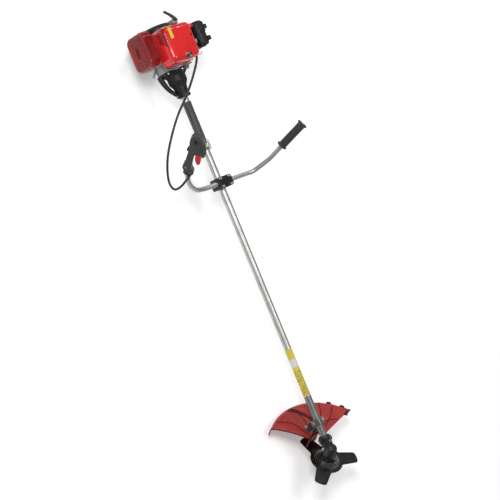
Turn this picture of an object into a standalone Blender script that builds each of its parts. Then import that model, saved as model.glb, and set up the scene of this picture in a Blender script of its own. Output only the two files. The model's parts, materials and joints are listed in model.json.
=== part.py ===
"""Petrol brush cutter with a bike handlebar, a three-tooth blade and a deflector shield.

The machine lies with its shaft level along +X, the blade in front, the engine upright at the back,
and it rests on the tank's stand and on the shield's rim. Sizes below are in millimetres, measured
from the point where the shaft tube enters the gear case: x forward, y to the operator's left, z up.
"""
import math

import bmesh
import bpy
from mathutils import Matrix, Vector

for leftover in list(bpy.data.objects):
    bpy.data.objects.remove(leftover, do_unlink=True)

# ---- driving dimensions, in millimetres ----------------------------------------------------------
MM = 0.001
GAP = 0.3                     # kept between pieces that touch
RUN = 0.1                     # radial play of a running fit
TUBE_MOUTH = (771.6, -38.5, 160.8)  # the gear case's tube mouth, seen from the part's origin
TUBE_R = 14.0
TUBE_BORE = 12.0
TUBE_BACK = -1441.0
TUBE_FRONT = 36.0
HOUSING_END = -1391.0         # front end of the clutch housing
DRIVE_R = 4.0
BAR_R = 9.5
BAR_X = -1037.0               # handlebar clamp along the shaft
BAR_Z = 27.0
GEAR_ANGLE = math.radians(55.0)   # between the shaft and the blade's axis
CROSSING = (62.0, 0.0, 0.0)   # where the two axes meet
BLADE_DROP = 48.0             # from the crossing down to the blade
BLADE_R = 127.5
BLADE_T = 2.0
BLADE_TURN = math.radians(65.8)
SHIELD_R = 240.0
SHIELD_H = 60.0               # the shield's plate above the blade
RIM_H = 20.0                  # lower edge of the shield's rim above the blade
SHIELD_START = math.radians(118.0)
SHIELD_END = math.radians(216.0)
CYL_X = -1572.0               # the cylinder's axis
BORE_R = 20.0
CRANK_R = 7.0
CASE_TOP = 44.0               # the crankcase's top, which the cylinder stands on
INTAKE_Z = 78.0
EXHAUST_Z = 56.0
PORT_R = 10.6
HEAD_TOP = 122.0
PLUG_R = 5.0
CARB_FLOOR = 60.0
CARB_TOP = 92.0
FLYWHEEL_X = -1511.0
STARTER_X = -1651.0
TANK_TOP = -62.0
TANK_FLOOR = -146.0
SPINDLE_R = 5.0               # the shaft that carries the blade
BOLT_R = 3.0
GROUND = -160.8               # the surface the machine lies on

COLOURS = {
    "red": ((0.62, 0.02, 0.02), 0.3, 0.0),
    "maroon": ((0.25, 0.02, 0.025), 0.45, 0.0),
    "black": ((0.02, 0.02, 0.022), 0.5, 0.0),
    "rubber": ((0.03, 0.027, 0.025), 0.85, 0.0),
    "steel": ((0.55, 0.55, 0.56), 0.3, 1.0),
    "dark_steel": ((0.12, 0.12, 0.125), 0.4, 1.0),
    "alloy": ((0.6, 0.6, 0.6), 0.4, 1.0),
    "tank": ((0.8, 0.8, 0.76), 0.35, 0.0),
    "foam": ((0.1, 0.1, 0.09), 0.95, 0.0),
    "grey": ((0.09, 0.09, 0.095), 0.6, 0.0),
}

PARTS = bpy.data.collections.new("brush_cutter")
CUTTERS = bpy.data.collections.new("cutters")
bpy.context.scene.collection.children.link(PARTS)
bpy.context.scene.collection.children.link(CUTTERS)


# ---- frames --------------------------------------------------------------------------------------
def frame_of(point, forward, up):
    """A frame at a point, with X forward and Z as near up as it can be."""
    x = Vector(forward).normalized()
    y = Vector(up).cross(x).normalized()
    z = x.cross(y)
    turn = Matrix((x, y, z)).transposed().to_4x4()
    return Matrix.Translation(Vector(point)) @ turn


MACHINE = Matrix.Identity(4)
NORMAL = Vector((-math.cos(GEAR_ANGLE), 0, math.sin(GEAR_ANGLE)))
BLADE_AT = Vector(CROSSING) - NORMAL * BLADE_DROP
GEAR = frame_of(BLADE_AT, (math.sin(GEAR_ANGLE), 0, math.cos(GEAR_ANGLE)), NORMAL)
SHAFTWISE = frame_of((0, 0, 0), (0, 0, -1), (1, 0, 0))
LEFTWARD = frame_of((0, 0, 0), (1, 0, 0), (0, 1, 0))
RIGHTWARD = frame_of((0, 0, 0), (1, 0, 0), (0, -1, 0))
GRIP_AT = Vector((-1109.5, -201.5, 126))
GRIP_TRIGGER_SIDE = (0.591, 0.641, 0.488)
GRIP_ALONG = (-0.652, 0.039, 0.757)
GRIP = frame_of(GRIP_AT, GRIP_TRIGGER_SIDE, GRIP_ALONG)


def at(x, y, z):
    return Matrix.Translation((x, y, z))


# ---- shapes --------------------------------------------------------------------------------------
def material_of(kind):
    if kind in bpy.data.materials:
        return bpy.data.materials[kind]
    colour, roughness, metallic = COLOURS[kind]
    material = bpy.data.materials.new(kind)
    material.use_nodes = True
    shader = material.node_tree.nodes["Principled BSDF"]
    shader.inputs["Base Color"].default_value = (*colour, 1)
    shader.inputs["Roughness"].default_value = roughness
    shader.inputs["Metallic"].default_value = metallic
    return material


def place(ob, frame, kind):
    """Link an object modelled in millimetres at a frame of the machine."""
    (PARTS if kind else CUTTERS).objects.link(ob)
    where = Matrix.Translation(Vector(TUBE_MOUTH)) @ frame
    ob.matrix_world = Matrix.Translation(where.translation * MM) @ where.to_3x3().to_4x4()
    if kind:
        ob.data.materials.append(material_of(kind))
    else:
        ob.hide_render = True
        ob.display_type = "WIRE"
    return ob


def mesh_object(name, bm, frame, kind, smooth=False):
    bmesh.ops.recalc_face_normals(bm, faces=bm.faces)
    bmesh.ops.scale(bm, vec=(MM, MM, MM), verts=bm.verts)
    mesh = bpy.data.meshes.new(name)
    bm.to_mesh(mesh)
    bm.free()
    if smooth:
        mesh.shade_smooth()
        mesh.set_sharp_from_angle(angle=math.radians(35))
    return place(bpy.data.objects.new(name, mesh), frame, kind)


def box(name, low, high, frame=MACHINE, kind=None, bevel=0.0, segments=1):
    """A box between two corners of a frame, its edges rounded when asked."""
    bm = bmesh.new()
    bmesh.ops.create_cube(bm, size=1)
    size = Vector(high) - Vector(low)
    bmesh.ops.scale(bm, vec=size, verts=bm.verts)
    bmesh.ops.translate(bm, vec=Vector(low) + size / 2, verts=bm.verts)
    if bevel:
        bmesh.ops.bevel(bm, geom=bm.edges[:], offset=bevel, segments=segments, profile=0.5,
                        affect="EDGES")
    return mesh_object(name, bm, frame, kind)


def rod(name, radius, low, high, frame=MACHINE, kind=None, sides=18, tip=None):
    """A cylinder or cone along a frame's Z."""
    bm = bmesh.new()
    end = radius if tip is None else tip
    bmesh.ops.create_cone(bm, cap_ends=True, segments=sides, radius1=radius, radius2=end,
                          depth=high - low)
    bmesh.ops.translate(bm, vec=(0, 0, (low + high) / 2), verts=bm.verts)
    return mesh_object(name, bm, frame, kind, smooth=True)


def turned(name, profile, frame, kind=None, steps=18, closed=False):
    """A solid turned about a frame's Z, from (radius, height) points, top to bottom outside."""
    bm = bmesh.new()
    points = [bm.verts.new((radius * MM, 0, height * MM)) for radius, height in profile]
    for first, second in zip(points, points[1:]):
        bm.edges.new((first, second))
    if closed:
        bm.edges.new((points[-1], points[0]))
    mesh = bpy.data.meshes.new(name)
    bm.to_mesh(mesh)
    bm.free()
    ob = place(bpy.data.objects.new(name, mesh), frame, kind)
    screw = ob.modifiers.new("Screw", "SCREW")
    screw.steps = steps
    screw.render_steps = steps
    screw.use_merge_vertices = True
    screw.merge_threshold = 0.00001
    return ob


def ring(name, inner, outer, low, high, frame, kind=None, steps=20):
    profile = [(outer, high), (outer, low), (inner, low), (inner, high)]
    return turned(name, profile, frame, kind, steps, closed=True)


def as_mesh(curve_object, name, frame, kind):
    """Turn a curve object into a closed mesh object."""
    bpy.context.scene.collection.objects.link(curve_object)
    graph = bpy.context.evaluated_depsgraph_get()
    mesh = bpy.data.meshes.new_from_object(curve_object.evaluated_get(graph))
    bm = bmesh.new()
    bm.from_mesh(mesh)
    bmesh.ops.remove_doubles(bm, verts=bm.verts, dist=0.00001)
    bmesh.ops.recalc_face_normals(bm, faces=bm.faces)
    bm.to_mesh(mesh)
    bm.free()
    bpy.data.objects.remove(curve_object, do_unlink=True)
    mesh.materials.clear()
    return place(bpy.data.objects.new(name, mesh), frame, kind)


def plate(name, outline, low, high, frame, kind=None):
    """A flat outline in a frame's XY, from one height to another."""
    curve = bpy.data.curves.new(name, "CURVE")
    curve.dimensions = "2D"
    curve.fill_mode = "BOTH"
    curve.extrude = (high - low) / 2 * MM
    spline = curve.splines.new("POLY")
    spline.points.add(len(outline) - 1)
    for point, (x, y) in zip(spline.points, outline):
        point.co = (x * MM, y * MM, 0, 1)
    spline.use_cyclic_u = True
    return as_mesh(bpy.data.objects.new(name, curve), name, frame @ at(0, 0, (low + high) / 2), kind)


def tube(name, points, radius, frame=MACHINE, kind=None, resolution=2):
    """A round bar along a list of points."""
    curve = bpy.data.curves.new(name, "CURVE")
    curve.dimensions = "3D"
    curve.bevel_depth = radius * MM
    curve.bevel_resolution = resolution
    curve.use_fill_caps = True
    spline = curve.splines.new("POLY")
    spline.points.add(len(points) - 1)
    for point, place_of in zip(spline.points, points):
        point.co = (*(Vector(place_of) * MM), 1)
    return as_mesh(bpy.data.objects.new(name, curve), name, frame, kind)


def smooth_path(points, per_span):
    """Points along a smooth curve through the given ones."""
    knots = [Vector(p) for p in points]
    knots = [2 * knots[0] - knots[1]] + knots + [2 * knots[-1] - knots[-2]]
    path = []
    for a, b, c, d in zip(knots, knots[1:], knots[2:], knots[3:]):
        for step in range(per_span):
            t = step / per_span
            path.append(0.5 * (2 * b + (c - a) * t + (2 * a - 5 * b + 4 * c - d) * t * t
                               + (3 * b - a - 3 * c + d) * t ** 3))
    return path + [knots[-2]]


def arc(radius, start, end, count):
    """Points along an arc of a frame's XY."""
    turns = [start + (end - start) * i / (count - 1) for i in range(count)]
    return [(radius * math.cos(turn), radius * math.sin(turn)) for turn in turns]


def combine(ob, others, operation):
    """Cut or join other objects with an object, and keep them as cutters."""
    for other in others:
        for collection in list(other.users_collection):
            collection.objects.unlink(other)
        CUTTERS.objects.link(other)
        other.hide_render = True
        other.display_type = "WIRE"
        boolean = ob.modifiers.new(other.name, "BOOLEAN")
        boolean.operation = operation
        boolean.solver = "EXACT"
        boolean.object = other
    return ob


def cut(ob, *others):
    return combine(ob, others, "DIFFERENCE")


def join(ob, *others):
    return combine(ob, others, "UNION")


def along_shaft(x):
    """A frame on the shaft's axis, with Z forward."""
    return at(x, 0, 0) @ SHAFTWISE


# ---- shaft ---------------------------------------------------------------------------------------
def shaft():
    start = along_shaft(TUBE_BACK)
    ring("shaft_tube", TUBE_BORE, TUBE_R, 0, TUBE_FRONT - TUBE_BACK, start, "alloy", 20)
    rod("drive_shaft", DRIVE_R, -14, 38 - TUBE_BACK - GAP, start, "steel", 16)
    for number, x in enumerate((-1300, -650, -60), 1):
        ring(f"shaft_bushing_{number}", DRIVE_R + RUN, TUBE_BORE - GAP, -12, 12, along_shaft(x),
             "black", 16)
    ring("grip_sleeve", TUBE_R + GAP, 17.0, 0, 195, along_shaft(-1371), "rubber", 20)
    hanger_at = along_shaft(-1176)
    hanger = ring("harness_hanger", 17.3, 19.3, -22, -6, hanger_at, "steel")
    join(hanger, box("hanger_strap", (-37, -6, -34), (-17.5, 6, 6), hanger_at))
    holes = [rod(f"hanger_hole_{i}", 3.2, -8, 8,
                 hanger_at @ at(-29, 0, -27 + 13 * i) @ Matrix.Rotation(math.pi / 2, 4, "X"),
                 sides=12) for i in range(3)]
    cut(hanger, *holes)


# ---- handlebar -----------------------------------------------------------------------------------
BAR_LEFT = [(BAR_X, 0, BAR_Z), (BAR_X, 60, BAR_Z), (BAR_X, 110, BAR_Z), (-1036, 143, 33),
            (-1045, 170, 62), (-1057, 197, 97), (-1081, 224, 150)]
LEFT_GRIP_AT = Vector((-1081, 224, 150))
LEFT_GRIP_ALONG = Vector((-0.39, 0.56, 0.73)).normalized()
BAR_RIGHT = [(BAR_X, 0, BAR_Z), (BAR_X, -60, BAR_Z), (BAR_X - 1, -98, BAR_Z), (-1042, -133, 34),
             (-1055, -165, 54), (-1076, -191, 80)]
BAR_IN_GRIP = -9.0            # the bar's axis across the throttle handle


def handlebar():
    grip_end = LEFT_GRIP_AT + LEFT_GRIP_ALONG * 118
    left = smooth_path(BAR_LEFT, 4)[1:] + [grip_end]
    inside = [GRIP @ Vector((BAR_IN_GRIP, 0, z)) for z in (-12, 78)]
    right = smooth_path(BAR_RIGHT + [inside[0]], 4) + [inside[1]]
    tube("handlebar", right[::-1] + left, BAR_R, kind="alloy")
    grip_frame = frame_of(LEFT_GRIP_AT, LEFT_GRIP_ALONG.orthogonal(), LEFT_GRIP_ALONG)
    ribs = [(0, 123), (17, 123), (21, 120), (21, 116), (17, 113)]
    for i in range(7):
        top = 110 - i * 14
        ribs += [(16.5, top), (16.5, top - 5), (15, top - 7), (15, top - 12)]
    ribs += [(17, 10), (21, 8), (21, 3), (17, 0), (BAR_R + GAP, 0), (BAR_R + GAP, 119), (0, 119)]
    turned("left_grip", ribs, grip_frame, "rubber", 14)


def handlebar_clamp():
    half_x = 22
    half_y = 34
    centre = at(BAR_X, 0, 0)
    lower = box("clamp_lower", (-half_x, -27, -23), (half_x, 27, -GAP), centre, "black", 3)
    base = box("clamp_base", (-half_x, -half_y, 0), (half_x, half_y, BAR_Z - GAP / 2), centre,
               "black", 2)
    cap = box("clamp_cap", (-half_x, -half_y, BAR_Z + GAP / 2), (half_x, half_y, 43), centre,
              "black", 3)
    for block, name in ((lower, "lower"), (base, "base")):
        cut(block, rod(f"clamp_{name}_seat", TUBE_R + GAP, -40, 40, centre @ SHAFTWISE, sides=20))
    across = centre @ at(0, 0, BAR_Z) @ Matrix.Rotation(math.pi / 2, 4, "X")
    for block, name in ((base, "base"), (cap, "cap")):
        cut(block, rod(f"clamp_{name}_bar_seat", BAR_R + GAP, -50, 50, across, sides=18))
    corners = [(x, y) for x in (-15, 15) for y in (-21, 21)]
    for number, (x, y) in enumerate(corners, 1):
        bolt_at = centre @ at(x, y, 0)
        for block, name in ((lower, "lower"), (base, "base"), (cap, "cap")):
            cut(block, rod(f"clamp_{name}_hole_{number}", BOLT_R + GAP, -40, 50, bolt_at, sides=12))
        bolt = rod(f"clamp_bolt_{number}", BOLT_R, -21, 46, bolt_at, "steel", 12)
        join(bolt, rod(f"clamp_bolt_head_{number}", 5.0, 43 + GAP, 48, bolt_at, sides=12))


# ---- throttle handle -----------------------------------------------------------------------------
HANDLE_OUTLINE = [(-21, -4), (15, -4), (15, 10), (6, 20), (3, 28), (3, 50), (6, 60), (12, 66),
                  (24, 67), (38, 69), (43, 82), (42, 102), (35, 128), (23, 150), (7, 161),
                  (-10, 160), (-20, 150), (-23, 134), (-19, 114), (-20, 90), (-23, 62),
                  (-24, 38), (-29, 32), (-30, 20), (-26, 12), (-22, 10)]
TRIGGER_PIVOT = (13.0, 78.0)
TRIGGER_OUTLINE = [(8, 83), (18, 83), (20, 72), (27, 55), (24, 48), (17, 48), (13, 60), (8, 71)]
LOCK_PIVOT = (-13.0, 110.0)
LOCK_OUTLINE = [(-9, 113), (-16, 114), (-22, 109), (-28, 92), (-26, 86), (-19, 85), (-16, 96),
                (-10, 105)]
HANDLE_HALF = 15.0


def flat_in_handle():
    """The handle's outline plane: outline x across the handle, outline y along it."""
    return GRIP @ Matrix.Rotation(math.pi / 2, 4, "X")


def around(outline, pivot):
    return [(x - pivot[0], z - pivot[1]) for x, z in outline]


def throttle_handle():
    flat = flat_in_handle()
    for side, low, high in (("outer", GAP / 2, HANDLE_HALF), ("inner", -HANDLE_HALF, -GAP / 2)):
        half = plate(f"throttle_body_{side}", HANDLE_OUTLINE, low, high, flat, "grey")
        cut(half,
            rod(f"bar_socket_{side}", BAR_R + GAP, -20, 79, GRIP @ at(BAR_IN_GRIP, 0, 0)),
            box(f"trigger_slot_{side}", (0.8, -5.5, 42), (29, 5.5, 88), GRIP),
            box(f"lock_slot_{side}", (-40, -4.5, 82), (-6, 4.5, 118), GRIP))
        if side == "outer":
            cut(half, box("switch_slot", (-7, -HANDLE_HALF - 2, 124), (7, -14, 146), GRIP))
    thickness = 5.0
    trigger_at = flat @ at(*TRIGGER_PIVOT, 0)
    plate("throttle_trigger", around(TRIGGER_OUTLINE, TRIGGER_PIVOT), -thickness, thickness,
          trigger_at, "red")
    lock_at = flat @ at(*LOCK_PIVOT, 0)
    plate("lockout_lever", around(LOCK_OUTLINE, LOCK_PIVOT), -4, 4, lock_at, "black")
    box("stop_switch", (-4, -18.5, -6), (4, -14 - GAP, 6), GRIP @ at(0, 0, 135), "red", 1)


CABLE_ROUTE = [(-1562, 70, 104), (-1530, 60, 98), (-1491, 42, 97), (-1426, -40, 136),
               (-1372, -100, 142), (-1318, -163, 139), (-1258, -205, 115), (-1196, -240, 93),
               (-1141, -250, 64), (-1098, -250, 48), (-1072, -246, 58), (-1072, -235, 86),
               (-1085.4, -218.1, 108), (-1092, -209.5, 118), (-1098.4, -200.2, 121),
               (-1102.3, -197.9, 124.5)]


def throttle_cable():
    tube("throttle_cable", smooth_path(CABLE_ROUTE, 3), 4.5, kind="rubber", resolution=2)


# ---- engine --------------------------------------------------------------------------------------
def upright(x, y):
    return at(x, y, 0)


def crank_train():
    """What turns with the crankshaft: shaft and webs, flywheel, clutch shoes."""
    start = along_shaft(CYL_X)
    crank = rod("crankshaft", CRANK_R, -92, -7, start, "steel", 16)
    join(crank, rod("crank_front", CRANK_R, 7, 80, start, sides=16),
         rod("web_back", 25.0, -15, -6, start, sides=18),
         rod("web_front", 25.0, 6, 15, start, sides=18),
         rod("crank_pin", 5.0, -8, 8, start @ at(-14, 0, 0), sides=12))
    on_crank = CRANK_R + GAP
    wheel_at = along_shaft(FLYWHEEL_X)
    wheel = turned("flywheel", [(22, 12), (22, 4), (50, 4), (50, -4), (22, -4), (22, -8),
                                (on_crank, -8), (on_crank, 12)], wheel_at, "alloy", 22, True)
    for i in range(8):
        turn = wheel_at @ Matrix.Rotation(i * math.pi / 4, 4, "Z")
        join(wheel, box(f"fan_blade_{i}", (24, -1.5, -10), (48, 1.5, -3.5), turn))
    for number, turn in enumerate((0, math.pi), 1):
        spin = along_shaft(0) @ Matrix.Rotation(turn, 4, "Z")
        half = arc(26, -1.2, 1.2, 9) + arc(9, 1.0, -1.0, 5)
        plate(f"clutch_shoe_{number}", half, -1489, -1476, spin, "dark_steel")


def clutch():
    drum_at = along_shaft(-1441)
    turned("clutch_drum", [(29.5, -18), (29.5, -46), (27, -46), (27, -21), (6.5, -21), (6.5, -13),
                           (DRIVE_R + GAP, -13), (DRIVE_R + GAP, -4), (8.4, -4), (8.4, -18)],
           drum_at, "dark_steel", 20, True)
    housing_at = along_shaft(HOUSING_END)
    outer = [(20, 0), (21, -12), (48, -98), (62, -100), (62, -106)]
    inner = [(33, -106), (33, -66), (9, -66), (9, -50 - GAP), (TUBE_R + GAP, -50 - GAP),
             (TUBE_R + GAP, 0)]
    housing = turned("clutch_housing", outer + inner, housing_at, "black", 24, True)
    leg = tube("housing_leg", [(-1494, -56, -20), (-1450, -44, -14), (-1404, -17, -5)], 8)
    cut(leg, rod("leg_clear", 15, 0, 100, along_shaft(-1462)),
        rod("drum_clear", 34, -12, 34, along_shaft(-1491)))
    join(housing, leg)
    ring("starter_dog", CRANK_R + GAP, 14, -5, 5, along_shaft(CYL_X - 84), "dark_steel", 16)


def crankcase():
    case = box("crankcase", (-1624, -48, -58), (-1522, 48, CASE_TOP), kind="alloy", bevel=6)
    join(case, ring("fan_ring", 54, 64, -12, 17.7, along_shaft(-1515), steps=20),
         rod("fan_wall", 60, -12, -7.5, along_shaft(-1515), sides=20))
    cut(case, rod("crank_chamber", 28, -18, 18, along_shaft(CYL_X), sides=18),
        rod("crank_bore", CRANK_R + 0.5, -80, 90, along_shaft(CYL_X), sides=16),
        rod("case_bore", BORE_R, 0, 60, upright(CYL_X, 0)))


def cylinder():
    base = CASE_TOP + GAP
    profile = [(0, HEAD_TOP), (24, HEAD_TOP)]
    for i in range(5):
        top = 118 - i * 13
        profile += [(38, top), (38, top - 3), (27, top - 3), (27, top - 13)]
    profile += [(34, base + 6), (34, base), (BORE_R, base), (BORE_R, 106), (0, 106)]
    barrel = turned("cylinder", profile, upright(CYL_X, 0), "alloy", 18)
    join(barrel, rod("intake_port", PORT_R, 22, 46, at(CYL_X, 0, INTAKE_Z) @ LEFTWARD, sides=16),
         rod("exhaust_port", PORT_R, 22, 57, at(CYL_X, 0, EXHAUST_Z) @ RIGHTWARD, sides=16))
    cut(barrel, rod("plug_hole", PLUG_R + GAP, 90, 130, upright(CYL_X, 0), sides=16))
    turned("piston", [(0, 94), (BORE_R - RUN, 94), (BORE_R - RUN, 62), (16, 62), (16, 86), (0, 86)],
           upright(CYL_X, 0), "alloy", 18)
    turned("spark_plug", [(0, 141), (4, 141), (4, 131), (8, 131), (8, HEAD_TOP + GAP),
                          (PLUG_R, HEAD_TOP + GAP), (PLUG_R, 108), (0, 108)],
           upright(CYL_X, 0), "steel", 16)


def muffler():
    body = box("muffler", (-1642, -122, -22), (-1548, -57, 36), kind="dark_steel", bevel=6)
    join(body, box("muffler_neck", (-1590, -75, 30), (-1554, -57.5, 70), bevel=2))
    cut(body, box("muffler_inside", (-1638, -118, -18), (-1552, -61, 32), bevel=4),
        rod("outlet", 7, 0, 30, at(-1570, -90, 0) @ SHAFTWISE, sides=16))
    guard = box("muffler_guard", (-1664, -134, -42), (-1528, -88.5, 72), kind="maroon", bevel=16,
                segments=3)
    cut(guard, box("guard_inside", (-1661, -131, -39), (-1531, -70, 69), bevel=14, segments=2))
    for i in range(9):
        z = -28 + i * 10
        cut(guard, box(f"louvre_{i}", (-1648, -140, z), (-1544, -120, z + 5)))


def shroud():
    """The red engine cover: an open shell with slots, windows for the ports and the plug."""
    outer = box("engine_shroud", (-1648, -85, 40), (-1505, 50, 146), kind="red", bevel=18,
                segments=3)
    hollow = box("shroud_inside", (-1645, -82, 20), (-1508, 47, 143), bevel=15, segments=2)
    cut(outer, hollow, box("shroud_foot", (-1670, -100, 20), (-1490, 60, 65)))
    for i in range(8):
        slot_at = at(-1632 + i * 7.5, -84, 104) @ Matrix.Rotation(0.25, 4, "Y")
        cut(outer, box(f"cooling_slot_{i}", (-1.6, -8, -22), (1.6, 8, 22), slot_at))
    cut(outer, rod("intake_window", 15, 30, 60, at(CYL_X, 0, INTAKE_Z) @ LEFTWARD, sides=16),
        box("exhaust_window", (-1594, -100, 50), (-1550, -70, 74)))


def starter():
    cup_at = along_shaft(STARTER_X)
    outside = [(70, 0), (70, -14), (60, -24), (14, -26), (14, -31), (0, -31)]
    inside = [(0, -28), (12, -28), (12, -23), (58, -21), (66, -13), (66, 0)]
    housing = turned("starter_housing", outside + inside, cup_at, "black", 24, True)
    guide = box("rope_guide", (-1672, 6, 60), (-1652, 28, 106), bevel=3)
    cut(guide, rod("guide_hole", 4, 72, 120, upright(-1662, 17), sides=12))
    join(housing, guide)
    ring("starter_pulley", 14.5, 40, -18, -8, cup_at, "black")
    hook = [(-1662, 17, 111), (-1667, 11, 117), (-1684, -6, 119), (-1704, -26, 116)]
    grip = tube("starter_handle", smooth_path(hook, 3), 5, kind="rubber")
    join(grip, rod("handle_base", 9, 106 + GAP, 112, upright(-1662, 17), sides=16),
         rod("handle_stem", 3, 80, 110, upright(-1662, 17), sides=12))


def intake():
    intake_axis = at(CYL_X, 0, INTAKE_Z) @ LEFTWARD
    carb = box("carburettor", (-1592, 58, CARB_FLOOR), (-1552, 82, CARB_TOP), kind="alloy", bevel=2)
    join(carb, rod("carb_neck", 11, 46 + GAP, 60, intake_axis, sides=16))
    primer_at = at(CYL_X + 12, 69, 0)
    cut(carb, rod("venturi", 7, 40, 90, intake_axis, sides=16),
        rod("primer_recess", 9.6, CARB_FLOOR - 4, CARB_FLOOR + 6, primer_at, sides=16))
    base = box("filter_base", (-1638, 82 + GAP, 42), (-1541, 91, 118), kind="black", bevel=4)
    cut(base, rod("base_window", 9, 70, 100, intake_axis, sides=16))
    cover = box("filter_cover", (-1640, 91 + GAP, 40), (-1541, 126, 120), kind="black", bevel=10,
                segments=2)
    cut(cover, box("cover_inside", (-1636, 80, 44), (-1545, 122, 116), bevel=7))
    box("filter_element", (-1630, 93, 50), (-1550, 110, 110), kind="foam", bevel=4)
    turned("primer_bulb", [(0, 0), (9, 0), (7, -6), (0, -8)], primer_at @ at(0, 0, CARB_FLOOR - GAP),
           "tank", 16)
    cam_at = at(CYL_X - 8, 69, CARB_TOP + GAP)
    cam = box("throttle_cam", (-3, -3, 0), (3, 12, 3), cam_at, "steel", 1)
    join(cam, rod("cam_hub", 5, 0, 5, cam_at, sides=12))
    lever_at = frame_of((-1541 + GAP, 86.5, 104), (0, 1, 0), (1, 0, 0))
    lever = box("choke_lever", (-3, -4, 0), (22, 4, 3), lever_at, "black", 1)
    join(lever, rod("choke_hub", 5, 0, 4, lever_at, sides=12))
    cable_end = Vector(CABLE_ROUTE[0])
    adjuster_at = frame_of(cable_end, (0, 0, 1), Vector(CABLE_ROUTE[1]) - cable_end) @ at(0, 0, -11)
    turned("cable_adjuster", [(7.5, 14), (7.5, 0), (3, 0), (3, 10), (5.4, 10), (5.4, 14)],
           adjuster_at, "steel", 16, True)


def tank():
    body = box("fuel_tank", (-1650, -64, TANK_FLOOR), (-1542, 70, TANK_TOP), kind="tank",
               bevel=14, segments=2)
    cap_at = frame_of((-1580, 60, -100), (0, 0, -1), (0, 1, 0.2))
    join(body, rod("filler_neck", 13, -10, 30, cap_at, sides=20))
    cut(body, rod("filler_bore", 9, -30, 40, cap_at, sides=16),
        box("tank_inside", (-1646, -60, TANK_FLOOR + 4), (-1546, 66, TANK_TOP - 4), bevel=12))
    turned("fuel_cap", [(0, 36), (17, 36), (18, 34), (18, 17), (13 + GAP, 17), (13 + GAP, 30 + GAP),
                        (0, 30 + GAP)], cap_at, "black", 20)
    stand = box("tank_stand", (-1655, -42, GROUND), (-1552, 72, TANK_FLOOR - GAP), kind="black",
                bevel=3)
    cut(stand, box("stand_window", (-1632, -20, -170), (-1575, 50, -140)))


# ---- gear case and blade -------------------------------------------------------------------------
def gear_case():
    head = BLADE_DROP
    outside = [(0, head + 32), (18, head + 30), (22, head + 20), (26, head), (26, 14)]
    inside = [(17, 14), (17, 22), (20, 24), (20, head + 24), (0, head + 26)]
    case = turned("gear_case", outside + inside, GEAR, "black", 22)
    barrel = turned("gear_neck", [(0, 62), (21, 62), (22, 40), (21, 0), (0, 0)], along_shaft(-4))
    cut(barrel, rod("neck_clear", 20, 14, head + 24, GEAR))
    join(case, barrel)
    cut(case, rod("pinion_way", 12, 25, 60, along_shaft(0)),
        rod("tube_seat", TUBE_R + GAP, -10, TUBE_FRONT + GAP, along_shaft(0), sides=20))
    plug_at = frame_of((40, 0, 0), (1, 0, 0), (0.3, -1, 0))
    cut(case, rod("plug_way", 5, 15, 30, plug_at, sides=12))
    rod("grease_plug", 5 - GAP, 17, 27, plug_at, "steel", 12)
    pinion_angle = math.radians(23)
    crown_angle = GEAR_ANGLE - pinion_angle
    crossing = along_shaft(CROSSING[0])
    rod("pinion", 24 * math.tan(pinion_angle) - GAP, -24, -14, crossing, "steel", 20,
        14 * math.tan(pinion_angle) - GAP)
    output = rod("output_shaft", SPINDLE_R, -14, head + 22, GEAR, "steel", 16)
    join(output, rod("crown_gear", 13 * math.tan(crown_angle) - GAP, head + 13, head + 22, GEAR,
                     sides=18, tip=22 * math.tan(crown_angle) - GAP))


def blade_parts():
    bore = SPINDLE_R + GAP
    face = BLADE_T / 2 + GAP
    turned("upper_flange", [(30, 20), (31, 12), (42, 8), (42, face), (bore, face),
                            (bore, 14 - GAP), (27, 14 - GAP), (27, 20)], GEAR, "steel", 20, True)
    turned("lower_flange", [(24, -face), (24, -5), (18, -7), (bore, -7), (bore, -face)], GEAR,
           "steel", 20, True)
    nut = rod("blade_nut", 9, -14, -7 - GAP, GEAR, "steel", 6)
    cut(nut, rod("nut_bore", bore, -20, 0, GEAR, sides=16))
    outline = []
    for arm in range(3):
        turn = BLADE_TURN + arm * math.tau / 3
        for reach, across in ((57, -30), (92, -27), (BLADE_R - 6, -24), (BLADE_R - 1, -12),
                              (BLADE_R - 1, 12), (BLADE_R - 6, 24), (92, 27), (57, 30)):
            outline.append((reach * math.cos(turn) - across * math.sin(turn),
                            reach * math.sin(turn) + across * math.cos(turn)))
        outline += arc(65, turn + math.radians(42), turn + math.radians(78), 5)
    blade = plate("blade", outline, -BLADE_T / 2, BLADE_T / 2, GEAR, "dark_steel")
    cut(blade, rod("blade_bore", bore, -5, 5, GEAR, sides=18))


def shield():
    hub_start = math.radians(149)
    hub_end = math.radians(207)
    front_left = [(-130, -70)]
    sector = arc(SHIELD_R, SHIELD_START, SHIELD_END, 19) + front_left
    sector += arc(84, hub_end, hub_start, 9)
    cover = plate("shield", sector, SHIELD_H, SHIELD_H + 3, GEAR, "red")
    inset = math.radians(0.4)
    start = SHIELD_START + inset
    end = SHIELD_END - inset
    rim = arc(SHIELD_R - 1, start, end, 19) + arc(SHIELD_R - 5, end, start, 19)
    join(cover, plate("shield_rim", rim, RIM_H, SHIELD_H + 1.5, GEAR))
    wall_start = hub_start + math.radians(20)
    hub = arc(92, wall_start, hub_end - inset, 7) + arc(86, hub_end - inset, wall_start, 7)
    join(cover, plate("shield_hub_wall", hub, 14, SHIELD_H + 1.5, GEAR))
    bracket = box("shield_bracket", (-128, -17, SHIELD_H + 3 + GAP), (-94, 17, 105), GEAR, "alloy", 2)
    join(bracket, rod("bracket_ring", 20, -2, 28, along_shaft(-74), sides=20))
    cut(bracket, rod("bracket_seat", TUBE_R + GAP, -20, 90, along_shaft(-74), sides=20))


shaft()
handlebar()
handlebar_clamp()
throttle_handle()
throttle_cable()
crank_train()
clutch()
crankcase()
cylinder()
muffler()
shroud()
starter()
intake()
tank()
gear_case()
blade_parts()
shield()
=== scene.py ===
import json
import math

import bmesh
import bpy
from mathutils import Matrix, Vector


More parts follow.
